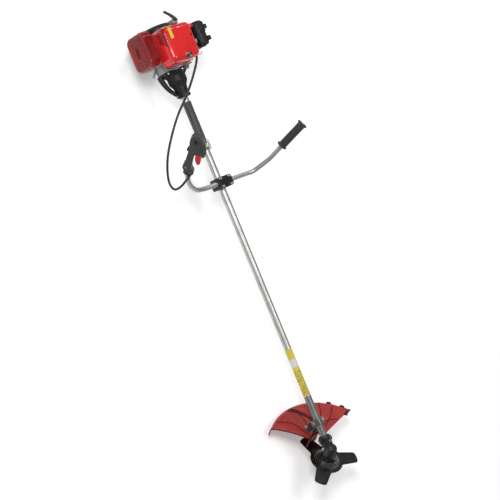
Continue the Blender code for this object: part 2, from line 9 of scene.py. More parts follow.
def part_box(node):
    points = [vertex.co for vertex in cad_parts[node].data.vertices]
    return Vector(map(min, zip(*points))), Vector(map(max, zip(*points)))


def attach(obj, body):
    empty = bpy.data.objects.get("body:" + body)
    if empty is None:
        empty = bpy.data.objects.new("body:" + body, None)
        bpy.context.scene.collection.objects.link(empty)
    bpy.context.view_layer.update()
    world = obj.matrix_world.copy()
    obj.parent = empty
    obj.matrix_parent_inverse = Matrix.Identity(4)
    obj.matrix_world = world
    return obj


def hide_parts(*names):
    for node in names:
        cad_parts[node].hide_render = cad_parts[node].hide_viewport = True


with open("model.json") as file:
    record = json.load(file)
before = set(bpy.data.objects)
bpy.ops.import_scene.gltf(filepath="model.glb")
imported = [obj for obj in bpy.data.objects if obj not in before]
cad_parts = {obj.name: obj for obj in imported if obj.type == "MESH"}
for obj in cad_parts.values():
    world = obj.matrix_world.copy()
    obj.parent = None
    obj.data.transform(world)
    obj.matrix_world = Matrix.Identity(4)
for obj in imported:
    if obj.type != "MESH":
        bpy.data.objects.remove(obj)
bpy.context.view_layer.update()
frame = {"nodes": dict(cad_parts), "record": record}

# ---- sizes and places: millimetres, from where the shaft tube enters the gear case ---------------
MM = 0.001
TUBE_R = 14.0
TUBE_FRONT = 36.0
TUBE_BACK = -1441.0
BAR_R = 9.5
BAR_X = -1037.0
BAR_Z = 27.0
GEAR_ANGLE = math.radians(55.0)
CROSSING = Vector((62.0, 0.0, 0.0))
BLADE_DROP = 48.0
BLADE_R = 127.5
BLADE_T = 2.0
ARM_TURNS = [math.radians(65.8 + 120 * arm) for arm in range(3)]
SHIELD_R = 240.0
SHIELD_TOP = 63.0
SHIELD_START = math.radians(118.0)
SHIELD_END = math.radians(216.0)
CYL_X = -1572.0
GAP = 0.3                     # kept between pieces that touch
ROUND_TUBE_R = TUBE_R + GAP
BLADE_BORE_R = 5.3
PORT_R = 10.6
HOLE_PAST = 60.0              # how far a cutter runs out on either side
SHARP = math.radians(38)      # an edge that turns by more than this is drawn sharp
WAVE_UNIT = 0.314             # the wave texture's scale that gives one band a metre

tube_low, tube_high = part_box("shaft_tube")
tube_middle = (tube_low + tube_high) / 2
MOUTH = Vector((tube_high.x - TUBE_FRONT * MM, tube_middle.y, tube_middle.z))


def frame_of(point, forward, up):
    """A frame at a point, with X forward and Z as near up as it can be."""
    x = Vector(forward).normalized()
    y = Vector(up).cross(x).normalized()
    z = x.cross(y)
    return Matrix.Translation(Vector(point)) @ Matrix((x, y, z)).transposed().to_4x4()


def at(x, y, z):
    return Matrix.Translation((x, y, z))


def along_shaft(x):
    """A frame on the shaft's axis, with Z forward and X down."""
    return MACHINE @ frame_of((x, 0, 0), (0, 0, -1), (1, 0, 0))


MACHINE = Matrix.Translation(MOUTH) @ Matrix.Scale(MM, 4)
NORMAL = Vector((-math.cos(GEAR_ANGLE), 0, math.sin(GEAR_ANGLE)))
GEAR = MACHINE @ frame_of(CROSSING - NORMAL * BLADE_DROP,
                          (math.sin(GEAR_ANGLE), 0, math.cos(GEAR_ANGLE)), NORMAL)
GRIP = MACHINE @ frame_of((-1109.5, -201.5, 126), (0.591, 0.641, 0.488), (-0.652, 0.039, 0.757))
TO_LEFT = frame_of((0, 0, 0), (1, 0, 0), (0, 1, 0))
TO_RIGHT = frame_of((0, 0, 0), (1, 0, 0), (0, -1, 0))
INTAKE = at(CYL_X, 0, 78) @ TO_LEFT
EXHAUST = at(CYL_X, 0, 56) @ TO_RIGHT
ROPE = at(-1662, 17, 0)
ON_EDGE = Matrix.Rotation(math.pi / 2, 4, "X")
FLAT = GRIP @ ON_EDGE


# ---- camera --------------------------------------------------------------------------------------
def add_camera():
    data = bpy.data.cameras.new("camera")
    data.lens = 108
    data.sensor_width = 36
    camera = bpy.data.objects.new("camera", data)
    bpy.context.scene.collection.objects.link(camera)
    right = Vector((0.38036, 0.73601, 0.56001))
    up = Vector((-0.92483, 0.30447, 0.22798))
    back = right.cross(up)
    turn = Matrix((right, up, back)).transposed().to_4x4()
    camera.matrix_world = Matrix.Translation(MOUTH + Vector((-0.7768, -3.4323, 4.5378))) @ turn
    bpy.context.scene.camera = camera


add_camera()


# ---- finishes ------------------------------------------------------------------------------------
class Wire:
    """A node's output that can be used in sums."""

    def __init__(self, recipe, socket):
        self.recipe = recipe
        self.socket = socket

    def maths(self, operation, first, second):
        return self.recipe.node("ShaderNodeMath", {"operation": operation}, {0: first, 1: second})

    def __add__(self, other):
        return self.maths("ADD", self, other)

    __radd__ = __add__

    def __mul__(self, other):
        return self.maths("MULTIPLY", self, other)

    __rmul__ = __mul__

    def __sub__(self, other):
        return self.maths("SUBTRACT", self, other)

    def __rsub__(self, other):
        return self.maths("SUBTRACT", other, self)


class Recipe:
    """A node tree, a finish's or a repeat's, that is filled node by node."""

    def __init__(self, tree):
        self.tree = tree

    def node(self, kind, settings=None, inputs=None, out=0):
        made = self.tree.nodes.new(kind)
        for name, value in (settings or {}).items():
            setattr(made, name, value)
        for name, value in (inputs or {}).items():
            if isinstance(value, Wire):
                self.tree.links.new(value.socket, made.inputs[name])
            else:
                made.inputs[name].default_value = value
        return Wire(self, made.outputs[out])


class Finish(Recipe):
    """A surface finish. Its patterns lie in the machine's own space, in metres."""

    def __init__(self, name, slot):
        self.material = bpy.data.materials.new(name)
        self.material.use_nodes = True
        super().__init__(self.material.node_tree)
        self.shader = self.tree.nodes["Principled BSDF"]
        self.slot = slot
        self.place = self.node("ShaderNodeTexCoord", out="Object")

    def noise(self, size, detail=3.0, stretch=(1, 1, 1)):
        """Noise with features of about this size, in millimetres."""
        place = self.node("ShaderNodeMapping", inputs={"Vector": self.place, "Scale": stretch})
        return self.node("ShaderNodeTexNoise",
                         inputs={"Vector": place, "Scale": 1 / (size * MM), "Detail": detail})

    def between(self, value, low, high):
        """From 0 below one level to 1 above the other."""
        return self.node("ShaderNodeMapRange", {"interpolation_type": "SMOOTHSTEP"},
                         {"Value": value, "From Min": low, "From Max": high})

    def colours(self, share, first, second):
        return self.node("ShaderNodeMix", {"data_type": "RGBA"},
                         {0: share, 6: colour4(first), 7: colour4(second)}, out=2)

    def feed(self, **inputs):
        for name, value in inputs.items():
            socket = self.shader.inputs[name.replace("_", " ")]
            if isinstance(value, Wire):
                self.tree.links.new(value.socket, socket)
            else:
                socket.default_value = value

    def bump(self, height, depth):
        """Raise the surface by up to a depth in millimetres."""
        normal = self.node("ShaderNodeBump", inputs={"Height": height, "Distance": depth * MM,
                                                     "Strength": 1.0}, out="Normal")
        self.tree.links.new(normal.socket, self.shader.inputs["Normal"])


def colour4(colour):
    return colour if isinstance(colour, Wire) else (*colour, 1.0)


def moulded(name, slot, colour, shade, roughness, grain=0.6, depth=0.04, coat=0.0, dust=0.06,
            shine=0.35):
    """Moulded plastic: two near tones, a fine grain, scuffs, and a little dust in the broad patches."""
    finish = Finish(name, slot)
    broad = finish.noise(70)
    grains = finish.noise(grain, 2)
    scuffs = finish.between(finish.noise(9, 5, (1, 4, 1)), 0.62, 0.75)
    tone = finish.colours(finish.between(broad, 0.35, 0.65), colour, shade)
    dusty = finish.between(finish.noise(38, 4), 0.56, 0.74) * dust
    tone = finish.colours(dusty, tone, (0.42, 0.38, 0.34))
    finish.feed(Base_Color=tone, Roughness=roughness + scuffs * 0.12 + grains * 0.08 - 0.04,
                Coat_Weight=coat, Coat_Roughness=0.08, Specular_IOR_Level=shine)
    finish.bump(grains, depth)
    return finish


def bare_metal(name, slot, colour, shade, roughness, grain=0.5, stretch=(1, 1, 1), depth=0.012):
    """Bare or ground metal: a drawn grain, soft stains, and fine scratches."""
    finish = Finish(name, slot)
    stains = finish.between(finish.noise(45, 5), 0.35, 0.72)
    lines = finish.noise(grain, 3, stretch)
    scratches = finish.between(finish.noise(6, 8, (0.3, 3, 1)), 0.66, 0.7)
    finish.feed(Base_Color=finish.colours(stains, colour, shade), Metallic=1.0,
                Roughness=roughness + lines * 0.14 + scratches * 0.1 + stains * 0.05 - 0.08)
    finish.bump(lines + scratches * 0.4, depth)
    return finish


def cast_metal(name, slot, colour, shade, roughness):
    """Sand-cast light alloy: coarse skin, darker in its hollows."""
    finish = Finish(name, slot)
    skin = finish.noise(1.6, 4)
    oil = finish.between(finish.noise(24, 4), 0.5, 0.72)
    tone = finish.colours(finish.between(skin, 0.35, 0.7), colour, shade)
    tone = finish.colours(oil * 0.45, tone, (0.1, 0.095, 0.085))
    finish.feed(Base_Color=tone, Metallic=0.85, Roughness=roughness + skin * 0.2 - 0.1)
    finish.bump(skin, 0.25)
    return finish


def rubber_finish(name, slot, colour, shade, roughness, grain=0.9):
    """Rubber: matt, faintly mottled, with a soft bloom."""
    finish = Finish(name, slot)
    mottle = finish.noise(grain, 4)
    bloom = finish.between(finish.noise(30, 4, (0.4, 1, 1)), 0.45, 0.75)
    finish.feed(Base_Color=finish.colours(bloom, colour, shade),
                Roughness=roughness + mottle * 0.14 - 0.07, Sheen_Weight=0.15)
    finish.bump(mottle, 0.08)
    return finish


def foam_finish():
    finish = Finish("filter_foam", "foam")
    pores = finish.node("ShaderNodeTexVoronoi", inputs={"Vector": finish.place, "Scale": 700.0},
                        out="Distance")
    finish.feed(Base_Color=finish.colours(pores, (0.02, 0.02, 0.018), (0.16, 0.16, 0.14)),
                Roughness=0.95)
    finish.bump(pores, 0.8)
    return finish


def tank_finish():
    """Milky fuel tank plastic, a little warmer where fuel has stained it."""
    finish = Finish("milky_tank_plastic", "tank")
    stain = finish.between(finish.noise(60, 3), 0.45, 0.75)
    grain = finish.noise(0.9, 2)
    finish.feed(Base_Color=finish.colours(stain, (0.58, 0.58, 0.57), (0.50, 0.49, 0.44)),
                Roughness=0.38 + grain * 0.1, Transmission_Weight=0.12, Subsurface_Weight=0.25,
                Subsurface_Radius=(0.006, 0.006, 0.005))
    finish.bump(grain, 0.03)
    return finish


def sticker_finish(name, slot, ground, mark, spacing, share):
    """A plain sticker with rows of short blank bars, which stand for its small print."""
    finish = Finish(name, slot)
    rows = finish.node("ShaderNodeTexWave", {"wave_type": "BANDS", "bands_direction": "X"},
                       {"Vector": finish.place, "Scale": WAVE_UNIT / (spacing * MM), "Distortion": 0.0},
                       out="Fac")
    blots = finish.noise(spacing * 0.9, 0)
    bars = finish.between(rows, 0.55, 0.62) * finish.between(blots, share, share + 0.03)
    wear = finish.noise(3, 4)
    finish.feed(Base_Color=finish.colours(bars, ground, mark), Roughness=0.34 + wear * 0.16)
    finish.bump(wear, 0.02)
    return finish


RED = moulded("glossy_red_plastic", "red", (0.60, 0.008, 0.010), (0.50, 0.006, 0.008), 0.26,
              grain=2.5, depth=0.02, coat=0.35, dust=0.02)
# painted shade: the muffler guard's ridges are painted a darker red than the shroud, for the shade on the
# guard's face, which turns away from the light
GUARD_SHADE_RED = moulded("deep_red_plastic", "maroon", (0.36, 0.012, 0.014), (0.28, 0.009, 0.012), 0.27,
                    grain=1.2, depth=0.02, coat=0.35, dust=0.02)
# painted shade: a near-black red for the guard's box between its ridges, the shield's dark band and the
# skirt under the shield, where shade falls
PAINTED_SHADE_RED = moulded("shadowed_red_plastic", "maroon", (0.07, 0.004, 0.006), (0.05, 0.003, 0.005), 0.45,
                   dust=0.02, shine=0.2)
SHIELD_RED = moulded("shield_red_plastic", "red", (0.36, 0.022, 0.018), (0.27, 0.016, 0.014), 0.42,
                     grain=0.8, depth=0.05, dust=0.08)
# painted shade: a near-black red for the shield's step lines, beads and notches, standing for the shade
# along its steps and edges
SHIELD_EDGE_SHADE = moulded("shield_edge_plastic", "maroon", (0.035, 0.010, 0.010), (0.025, 0.009, 0.009),
                      0.5, shine=0.2)
BLACK = moulded("black_plastic", "black", (0.009, 0.009, 0.0095), (0.016, 0.016, 0.016), 0.40,
                depth=0.06, dust=0.02, shine=0.22)
BLACK_PAINT = moulded("black_paint", "black", (0.008, 0.008, 0.008), (0.015, 0.014, 0.013), 0.30,
                      grain=1.8, depth=0.05, coat=0.12, dust=0.02, shine=0.25)
HANDLE_GREY = moulded("handle_grey_plastic", "grey", (0.030, 0.030, 0.029), (0.042, 0.041, 0.039),
                      0.38, depth=0.05, dust=0.03)
TRIGGER_RED = moulded("trigger_red_plastic", "red", (0.42, 0.02, 0.02), (0.35, 0.018, 0.018), 0.34)
RUBBER = rubber_finish("black_rubber", "rubber", (0.009, 0.009, 0.0085), (0.02, 0.019, 0.017), 0.58)
SLEEVE = rubber_finish("sleeve_rubber", "rubber", (0.032, 0.028, 0.024), (0.055, 0.049, 0.043), 0.50,
                       grain=0.5)
ALLOY = bare_metal("drawn_alloy", "alloy", (0.48, 0.48, 0.465), (0.40, 0.40, 0.385), 0.38,
                   stretch=(0.03, 1, 1))
CAST = cast_metal("cast_alloy", "alloy", (0.34, 0.34, 0.33), (0.22, 0.22, 0.215), 0.50)
STEEL = bare_metal("zinc_steel", "steel", (0.50, 0.50, 0.485), (0.34, 0.335, 0.315), 0.26)
DARK_STEEL = bare_metal("dark_steel", "dark_steel", (0.040, 0.039, 0.037), (0.026, 0.025, 0.023),
                        0.40, grain=0.8, stretch=(1, 0.2, 1))
# a darker grey copy of the drawn alloy, for the tube's lower end
DARKER_TUBE_GREY = bare_metal("grey_lacquered_tube", "alloy", (0.25, 0.245, 0.245), (0.19, 0.19, 0.185), 0.38,
                       stretch=(0.03, 1, 1))
BRACKET_STEEL = bare_metal("dull_bracket_steel", "steel", (0.22, 0.22, 0.215), (0.09, 0.09, 0.085), 0.3)
FOAM = foam_finish()
TANK = tank_finish()
YELLOW_STICKER = sticker_finish("yellow_sticker", "tank", (0.60, 0.49, 0.045), (0.05, 0.035, 0.01),
                                5.0, 0.44)
BLACK_STICKER = sticker_finish("black_sticker", "black", (0.015, 0.015, 0.016), (0.33, 0.33, 0.36),
                               9.0, 0.50)
PALE_STICKER = moulded("pale_plastic", "tank", (0.62, 0.62, 0.60), (0.52, 0.52, 0.50), 0.4)
YELLOW_PLAIN = moulded("yellow_label", "tank", (0.62, 0.49, 0.045), (0.52, 0.42, 0.04), 0.34, dust=0.05)

CAD_FINISHES = {"alloy": ALLOY, "steel": STEEL, "dark_steel": DARK_STEEL, "black": BLACK,
                "red": RED, "maroon": GUARD_SHADE_RED, "rubber": RUBBER, "grey": HANDLE_GREY,
                "foam": FOAM, "tank": TANK}


def dress_cad():
    """Give every node of the frame its real finish."""
    for part in frame["record"]["subparts"]:
        node = frame["nodes"][part["node"]]
        node.data.materials.clear()
        node.data.materials.append(CAD_FINISHES[part["material_slot"]].material)
    for name in ("crankcase", "cylinder", "carburettor", "flywheel"):
        frame["nodes"][name].data.materials[0] = CAST.material


dress_cad()


# ---- shapes --------------------------------------------------------------------------------------
def eased(points, radius, closed=False, steps=3):
    """The same line with its corners rounded."""
    line = []
    last = len(points) - 1
    for i, point in enumerate(points):
        if not closed and i in (0, last):
            line.append(tuple(point))
            continue
        here = Vector(point)
        before = Vector(points[i - 1]) - here
        after = Vector(points[(i + 1) % len(points)]) - here
        start = here + before.normalized() * min(radius, before.length * 0.45)
        end = here + after.normalized() * min(radius, after.length * 0.45)
        for k in range(steps + 1):
            t = k / steps
            line.append(tuple(start * (1 - t) ** 2 + here * (2 * t * (1 - t)) + end * t * t))
    return line


def arc(radius, start, end, count):
    turns = [start + (end - start) * i / (count - 1) for i in range(count)]
    return [(radius * math.cos(turn), radius * math.sin(turn)) for turn in turns]


def smooth_path(points, per_span):
    """Points along a smooth curve through the given ones."""
    knots = [Vector(p) for p in points]
    knots = [2 * knots[0] - knots[1]] + knots + [2 * knots[-1] - knots[-2]]
    path = []
    for a, b, c, d in zip(knots, knots[1:], knots[2:], knots[3:]):
        for step in range(per_span):
            t = step / per_span
            path.append(0.5 * (2 * b + (c - a) * t + (2 * a - 5 * b + 4 * c - d) * t * t
                               + (3 * b - a - 3 * c + d) * t ** 3))
    return path + [knots[-2]]


def block(low, high, bevel=0.0, segments=3):
    shape = bmesh.new()
    bmesh.ops.create_cube(shape, size=1)
    size = Vector(high) - Vector(low)
    bmesh.ops.scale(shape, vec=size, verts=shape.verts)
    bmesh.ops.translate(shape, vec=Vector(low) + size / 2, verts=shape.verts)
    if bevel:
        bmesh.ops.bevel(shape, geom=shape.edges[:], offset=bevel, segments=segments, profile=0.5,
                        affect="EDGES")
    return shape


def ears(low, high, bevel):
    """A block on the left and its like on the right, as where a clamp is bolted."""
    right_low = (low[0], -high[1], low[2])
    right_high = (high[0], -low[1], high[2])
    return [block(low, high, bevel), block(right_low, right_high, bevel)]


def lathe(profile, steps=48, closed=False):
    """A solid turned about Z, from (radius, height) points."""
    shape = bmesh.new()
    rows = []
    for i in range(steps):
        turn = math.tau * i / steps
        rows.append([shape.verts.new((r * math.cos(turn), r * math.sin(turn), z)) for r, z in profile])
    count = len(profile)
    for row, beside in zip(rows, rows[1:] + rows[:1]):
        for i in range(count if closed else count - 1):
            j = (i + 1) % count
            shape.faces.new((row[i], row[j], beside[j], beside[i]))
    bmesh.ops.remove_doubles(shape, verts=shape.verts, dist=0.0005)
    bmesh.ops.recalc_face_normals(shape, faces=shape.faces)
    return shape


def disc(radius, low, high, steps=32, edge=0.6):
    """A turned disc or pin with rounded rims."""
    profile = [(0, low), (radius, low), (radius, high), (0, high)]
    return lathe(eased(profile, edge), steps)


def bore(radius, where):
    """A long pin that cuts a hole for the tube or the bar."""
    return moved(disc(radius, -HOLE_PAST, HOLE_PAST, 48, 0.1), where)


def slab(outline, low, high, bevel=0.0, segments=3):
    """A flat outline in XY, from one height to another, with its rims rounded."""
    shape = bmesh.new()
    face = shape.faces.new([shape.verts.new((x, y, low)) for x, y in outline])
    raised = bmesh.ops.extrude_face_region(shape, geom=[face])["geom"]
    bmesh.ops.translate(shape, vec=(0, 0, high - low),
                        verts=[v for v in raised if isinstance(v, bmesh.types.BMVert)])
    bmesh.ops.recalc_face_normals(shape, faces=shape.faces)
    if bevel:
        rims = [e for e in shape.edges if abs(e.verts[0].co.z - e.verts[1].co.z) < 0.001]
        bmesh.ops.bevel(shape, geom=rims, offset=bevel, segments=segments, profile=0.5,
                        affect="EDGES", clamp_overlap=True)
    return shape


def plate(half_x, half_y, corner, low, high, bevel=0.0, steps=3):
    """A flat rectangle about the origin, with rounded corners."""
    loop = [(-half_x, -half_y), (half_x, -half_y), (half_x, half_y), (-half_x, half_y)]
    return slab(eased(loop, corner, True, steps), low, high, bevel)


def pipe(points, radius, sides=20):
    """A round bar along points, whose radius may change on the way."""
    path = [Vector(p) for p in points]
    radii = radius if isinstance(radius, list) else [radius] * len(path)
    shape = bmesh.new()
    side = (path[1] - path[0]).orthogonal().normalized()
    rings = []
    for i, point in enumerate(path):
        along = (path[min(i + 1, len(path) - 1)] - path[max(i - 1, 0)]).normalized()
        side = (side - along * side.dot(along)).normalized()
        across = along.cross(side)
        turns = [math.tau * k / sides for k in range(sides)]
        rings.append([shape.verts.new(point + (side * math.cos(t) + across * math.sin(t)) * radii[i])
                      for t in turns])
    for ring, beside in zip(rings, rings[1:]):
        for k in range(sides):
            j = (k + 1) % sides
            shape.faces.new((ring[k], ring[j], beside[j], beside[k]))
    shape.faces.new(rings[0])
    shape.faces.new(rings[-1])
    bmesh.ops.recalc_face_normals(shape, faces=shape.faces)
    return shape


def moved(shape, where):
    shape.transform(where)
    return shape


def together(*shapes):
    """Several shapes in one."""
    whole = bmesh.new()
    for shape in shapes:
        mesh = bpy.data.meshes.new("part")
        shape.to_mesh(mesh)
        shape.free()
        whole.from_mesh(mesh)
        bpy.data.meshes.remove(mesh)
    return whole


def bench_object(shape):
    """A throwaway object that holds a shape while a modifier works on it."""
    mesh = bpy.data.meshes.new("bench")
    shape.to_mesh(mesh)
    shape.free()
    ob = bpy.data.objects.new("bench", mesh)
    bpy.context.scene.collection.objects.link(ob)
    return ob


def taken_off(ob):
    """The shape that an object's modifiers make of it. The object goes."""
    graph = bpy.context.evaluated_depsgraph_get()
    graph.update()
    mesh = bpy.data.meshes.new_from_object(ob.evaluated_get(graph))
    shape = bmesh.new()
    shape.from_mesh(mesh)
    bpy.data.meshes.remove(mesh)
    bpy.data.objects.remove(ob, do_unlink=True)
    return shape


def carved(shape, *tools, operation="DIFFERENCE"):
    """A shape with others cut out of it, or joined to it."""
    for tool in tools:
        ob = bench_object(shape)
        other = bench_object(tool)
        boolean = ob.modifiers.new("cut", "BOOLEAN")
        boolean.operation = operation
        boolean.solver = "EXACT"
        boolean.object = other
        shape = taken_off(ob)
        bpy.data.objects.remove(other, do_unlink=True)
    return shape


def add_piece(name, shape, where, finish, body="machine", instead_of=(), even=True):
    """A finished piece of the machine, standing for its nodes of the frame."""
    shape.transform(where)
    mesh = bpy.data.meshes.new(name)
    shape.to_mesh(mesh)
    shape.free()
    mesh.materials.clear()
    mesh.materials.append(finish.material)
    mesh.shade_smooth()
    mesh.set_sharp_from_angle(angle=SHARP)
    ob = bpy.data.objects.new(name, mesh)
    bpy.context.scene.collection.objects.link(ob)
    if even:
        ob.modifiers.new("even_shading", "WEIGHTED_NORMAL").keep_sharp = True
    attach(ob, body)
    if instead_of:
        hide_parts(*instead_of)
    return ob


# ---- repeats -------------------------------------------------------------------------------------
def new_tree(name, sizes):
    """An empty geometry tree with a geometry input and named sizes."""
    tree = bpy.data.node_groups.new(name, "GeometryNodeTree")
    tree.interface.new_socket("Geometry", in_out="INPUT", socket_type="NodeSocketGeometry")
    for size_name, kind in sizes:
        tree.interface.new_socket(size_name, in_out="INPUT", socket_type=kind)
    tree.interface.new_socket("Geometry", in_out="OUTPUT", socket_type="NodeSocketGeometry")
    return Recipe(tree)


def end_tree(recipe, geometry, finish):
    """Finish a tree: real geometry with its material."""
    real = recipe.node("GeometryNodeRealizeInstances", inputs={0: geometry})
    dressed = recipe.node("GeometryNodeSetMaterial", inputs={"Geometry": real,
                                                             "Material": finish.material})
    out = recipe.tree.nodes.new("NodeGroupOutput")
    recipe.tree.links.new(dressed.socket, out.inputs[0])
    return recipe.tree


def run_tree(ob, tree, values):
    """Run a tree on an object with its sizes, and take the shape off."""
    modifier = ob.modifiers.new("repeat", "NODES")
    modifier.node_group = tree
    keys = {item.name: item.identifier for item in tree.interface.items_tree
            if item.in_out == "INPUT"}
    for name, value in values.items():
        modifier[keys[name]] = value
    return taken_off(ob)


def repeated(shape, count, finish, step=(0.0, 0.0, 0.0), turn=0.0):
    """Copies of a shape, each a step and a turn about Z further than the one before."""
    recipe = new_tree("copies", (("Count", "NodeSocketInt"), ("Step", "NodeSocketVector"),
                                 ("Turn", "NodeSocketFloat")))
    given = recipe.tree.nodes.new("NodeGroupInput")
    number = recipe.node("GeometryNodeInputIndex")
    place = recipe.node("ShaderNodeVectorMath", {"operation": "SCALE"},
                        {0: Wire(recipe, given.outputs["Step"]), "Scale": number})
    points = recipe.node("GeometryNodePoints", inputs={"Count": Wire(recipe, given.outputs["Count"]),
                                                       "Position": place})
    angle = number * Wire(recipe, given.outputs["Turn"])
    spin = recipe.node("ShaderNodeCombineXYZ", inputs={"Z": angle})
    copies = recipe.node("GeometryNodeInstanceOnPoints",
                         inputs={"Points": points, "Instance": Wire(recipe, given.outputs[0]),
                                 "Rotation": spin})
    tree = end_tree(recipe, copies, finish)
    return run_tree(bench_object(shape), tree, {"Count": count, "Step": step, "Turn": turn})


def screw_heads(places, radius=4.0, height=3.5, socket=1.9):
    """Socket-head screws at places that each give a point and the way the head faces."""
    recipe = new_tree("screw_heads", (("Radius", "NodeSocketFloat"), ("Height", "NodeSocketFloat"),
                                      ("Socket", "NodeSocketFloat")))
    given = recipe.tree.nodes.new("NodeGroupInput")
    wide = Wire(recipe, given.outputs["Radius"])
    tall = Wire(recipe, given.outputs["Height"])
    drive = Wire(recipe, given.outputs["Socket"])

    def cylinder(sides, wide_by, depth, lift):
        made = recipe.node("GeometryNodeMeshCylinder",
                           inputs={"Vertices": sides, "Radius": wide_by, "Depth": depth})
        up = recipe.node("ShaderNodeCombineXYZ", inputs={"Z": lift})
        return recipe.node("GeometryNodeTransform", inputs={"Geometry": made, "Translation": up})

    head = cylinder(20, wide, tall, 0.0)
    washer = cylinder(24, wide * 1.35, tall * 0.3, tall * -0.5)
    key = cylinder(6, drive, tall, tall * 0.5)
    cut = recipe.tree.nodes.new("GeometryNodeMeshBoolean")
    cut.operation = "DIFFERENCE"
    recipe.tree.links.new(head.socket, cut.inputs[0])
    recipe.tree.links.new(key.socket, cut.inputs[1])
    both = recipe.tree.nodes.new("GeometryNodeJoinGeometry")
    recipe.tree.links.new(washer.socket, both.inputs[0])
    recipe.tree.links.new(cut.outputs[0], both.inputs[0])
    facing = recipe.node("GeometryNodeInputNamedAttribute", {"data_type": "FLOAT_VECTOR"},
                         {"Name": "facing"})
    turn = recipe.node("FunctionNodeAlignRotationToVector", {"axis": "Z"}, {"Vector": facing})
    copies = recipe.node("GeometryNodeInstanceOnPoints",
                         inputs={"Points": Wire(recipe, given.outputs[0]),
                                 "Instance": Wire(recipe, both.outputs[0]), "Rotation": turn})
    tree = end_tree(recipe, copies, STEEL)
    mesh = bpy.data.meshes.new("screw_places")
    mesh.from_pydata([tuple(point) for point, _ in places], [], [])
    attribute = mesh.attributes.new("facing", "FLOAT_VECTOR", "POINT")
    for entry, (_, way) in zip(attribute.data, places):
        entry.vector = way
    ob = bpy.data.objects.new("screw_places", mesh)
    bpy.context.scene.collection.objects.link(ob)
    return run_tree(ob, tree, {"Radius": radius, "Height": height, "Socket": socket})


def add_screws(name, places, where, *sizes):
    add_piece(name, screw_heads(places, *sizes), where, STEEL)


# ---- throttle cable ------------------------------------------------------------------------------
CABLE_ROUTE = [(-1562, 70, 104), (-1530, 60, 98), (-1491, 42, 97), (-1426, -40, 136),
               (-1372, -100, 142), (-1318, -163, 139), (-1258, -205, 115), (-1196, -240, 93),
               (-1141, -250, 64), (-1098, -250, 48), (-1072, -246, 58), (-1072, -235, 86),
               (-1085.4, -218.1, 108), (-1092, -209.5, 118), (-1098.4, -200.2, 121),
               (-1102.3, -197.9, 124.5)]
CABLE_R = 4.5


def throttle_cable():
    route = [MACHINE @ point for point in smooth_path(CABLE_ROUTE, 6)]
    curve = bpy.data.curves.new("throttle_cable_sheath", "CURVE")
    curve.dimensions = "3D"
    curve.bevel_depth = CABLE_R * MM
    curve.bevel_resolution = 5
    curve.use_fill_caps = True
    spline = curve.splines.new("POLY")
    spline.points.add(len(route) - 1)
    for point, place in zip(spline.points, route):
        point.co = (*place, 1)
    curve.materials.append(RUBBER.material)
    cable = bpy.data.objects.new("throttle_cable_sheath", curve)
    bpy.context.scene.collection.objects.link(cable)
    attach(cable, "machine")
    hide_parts("throttle_cable")
    length = sum((b - a).length for a, b in zip(route, route[1:]))


throttle_cable()


# ---- shaft ---------------------------------------------------------------------------------------
def shaft():
    start = along_shaft(TUBE_BACK)
    length = TUBE_FRONT - TUBE_BACK
    profile = [(12, 0), (TUBE_R, 0), (TUBE_R, length), (12, length)]
    add_piece("alloy_tube", lathe(eased(profile, 0.6, True), 64, True), start, ALLOY,
              instead_of=["shaft_tube"])
    ends = [(ROUND_TUBE_R, 0), (17.4, 0), (17.4, 5), (16.9, 7)]
    sleeve = ends + [(16.9, 188), (17.4, 190), (17.4, 195), (ROUND_TUBE_R, 195)]
    add_piece("rubber_sleeve", lathe(eased(sleeve, 1.0, True), 56, True), along_shaft(-1371), SLEEVE,
              instead_of=["grip_sleeve"])


def darker_tube_end():
    """The tube's lower end, drawn in a darker grey than the rest of the tube."""
    wall = [(TUBE_R + 0.02, 0), (TUBE_R + 0.25, 0.3), (TUBE_R + 0.25, 169.7), (TUBE_R + 0.02, 170)]
    add_piece("grey_tube_end", lathe(wall, 64, True), along_shaft(-167), DARKER_TUBE_GREY)


def hanger():
    """The harness hanger: a band round the sleeve and a strip with holes, bolted together."""
    where = along_shaft(-1176)
    band = lathe(eased([(17.5, -22), (19.5, -22), (19.5, -6), (17.5, -6)], 0.5, True), 48, True)
    outline = eased([(-19, -34), (-37, -34), (-37, 6), (-19, 6)], 6, True, 5)
    strip = moved(slab(outline, -1.6, 1.6, 0.5), ON_EDGE)
    hole = moved(disc(3.6, -8, 8, 20), at(-29.5, 0, -26) @ ON_EDGE)
    holes = repeated(hole, 3, STEEL, step=(0, 0, 12.5))
    strip = carved(strip, holes)
    lug = block((-23, -5, -20), (-17.5, 5, -8), 1)
    bolts = screw_heads([((-21, 6.5 * side, -14), (0, side, 0)) for side in (-1, 1)], 3.2, 3)
    add_piece("hanger_strip_and_band", together(band, strip, lug, bolts), where, STEEL,
              instead_of=["harness_hanger"])


def tube_stickers():
    """A long yellow sticker round the top of the tube, plain above and barred below."""
    face = math.radians(205)
    for name, low, high, lift, wide, finish in (
            ("tube_sticker_plain", -359, -270, 0.2, 2.45, YELLOW_PLAIN),
            ("tube_sticker_barred", -269, -170, 0.2, 2.45, YELLOW_STICKER),
            ("tube_sticker_pale", -318, -286, 0.35, 1.5, PALE_STICKER)):
        bow = arc(TUBE_R + lift, face - wide, face + wide, 25)
        back = arc(TUBE_R + 0.02, face + wide, face - wide, 25)
        add_piece(name, slab(bow + back, 0, high - low), along_shaft(low), finish, even=False)


# ---- handlebar -----------------------------------------------------------------------------------
BAR_LEFT = [(BAR_X, 0, BAR_Z), (BAR_X, 60, BAR_Z), (BAR_X, 110, BAR_Z), (-1036, 143, 33),
            (-1045, 170, 62), (-1057, 197, 97), (-1081, 224, 150)]
LEFT_GRIP_AT = Vector((-1081, 224, 150))
LEFT_GRIP_ALONG = Vector((-0.39, 0.56, 0.73)).normalized()
BAR_RIGHT = [(BAR_X, 0, BAR_Z), (BAR_X, -60, BAR_Z), (BAR_X - 1, -98, BAR_Z), (-1042, -133, 34),
             (-1055, -165, 54), (-1076, -191, 80)]
BAR_IN_GRIP = -9.0


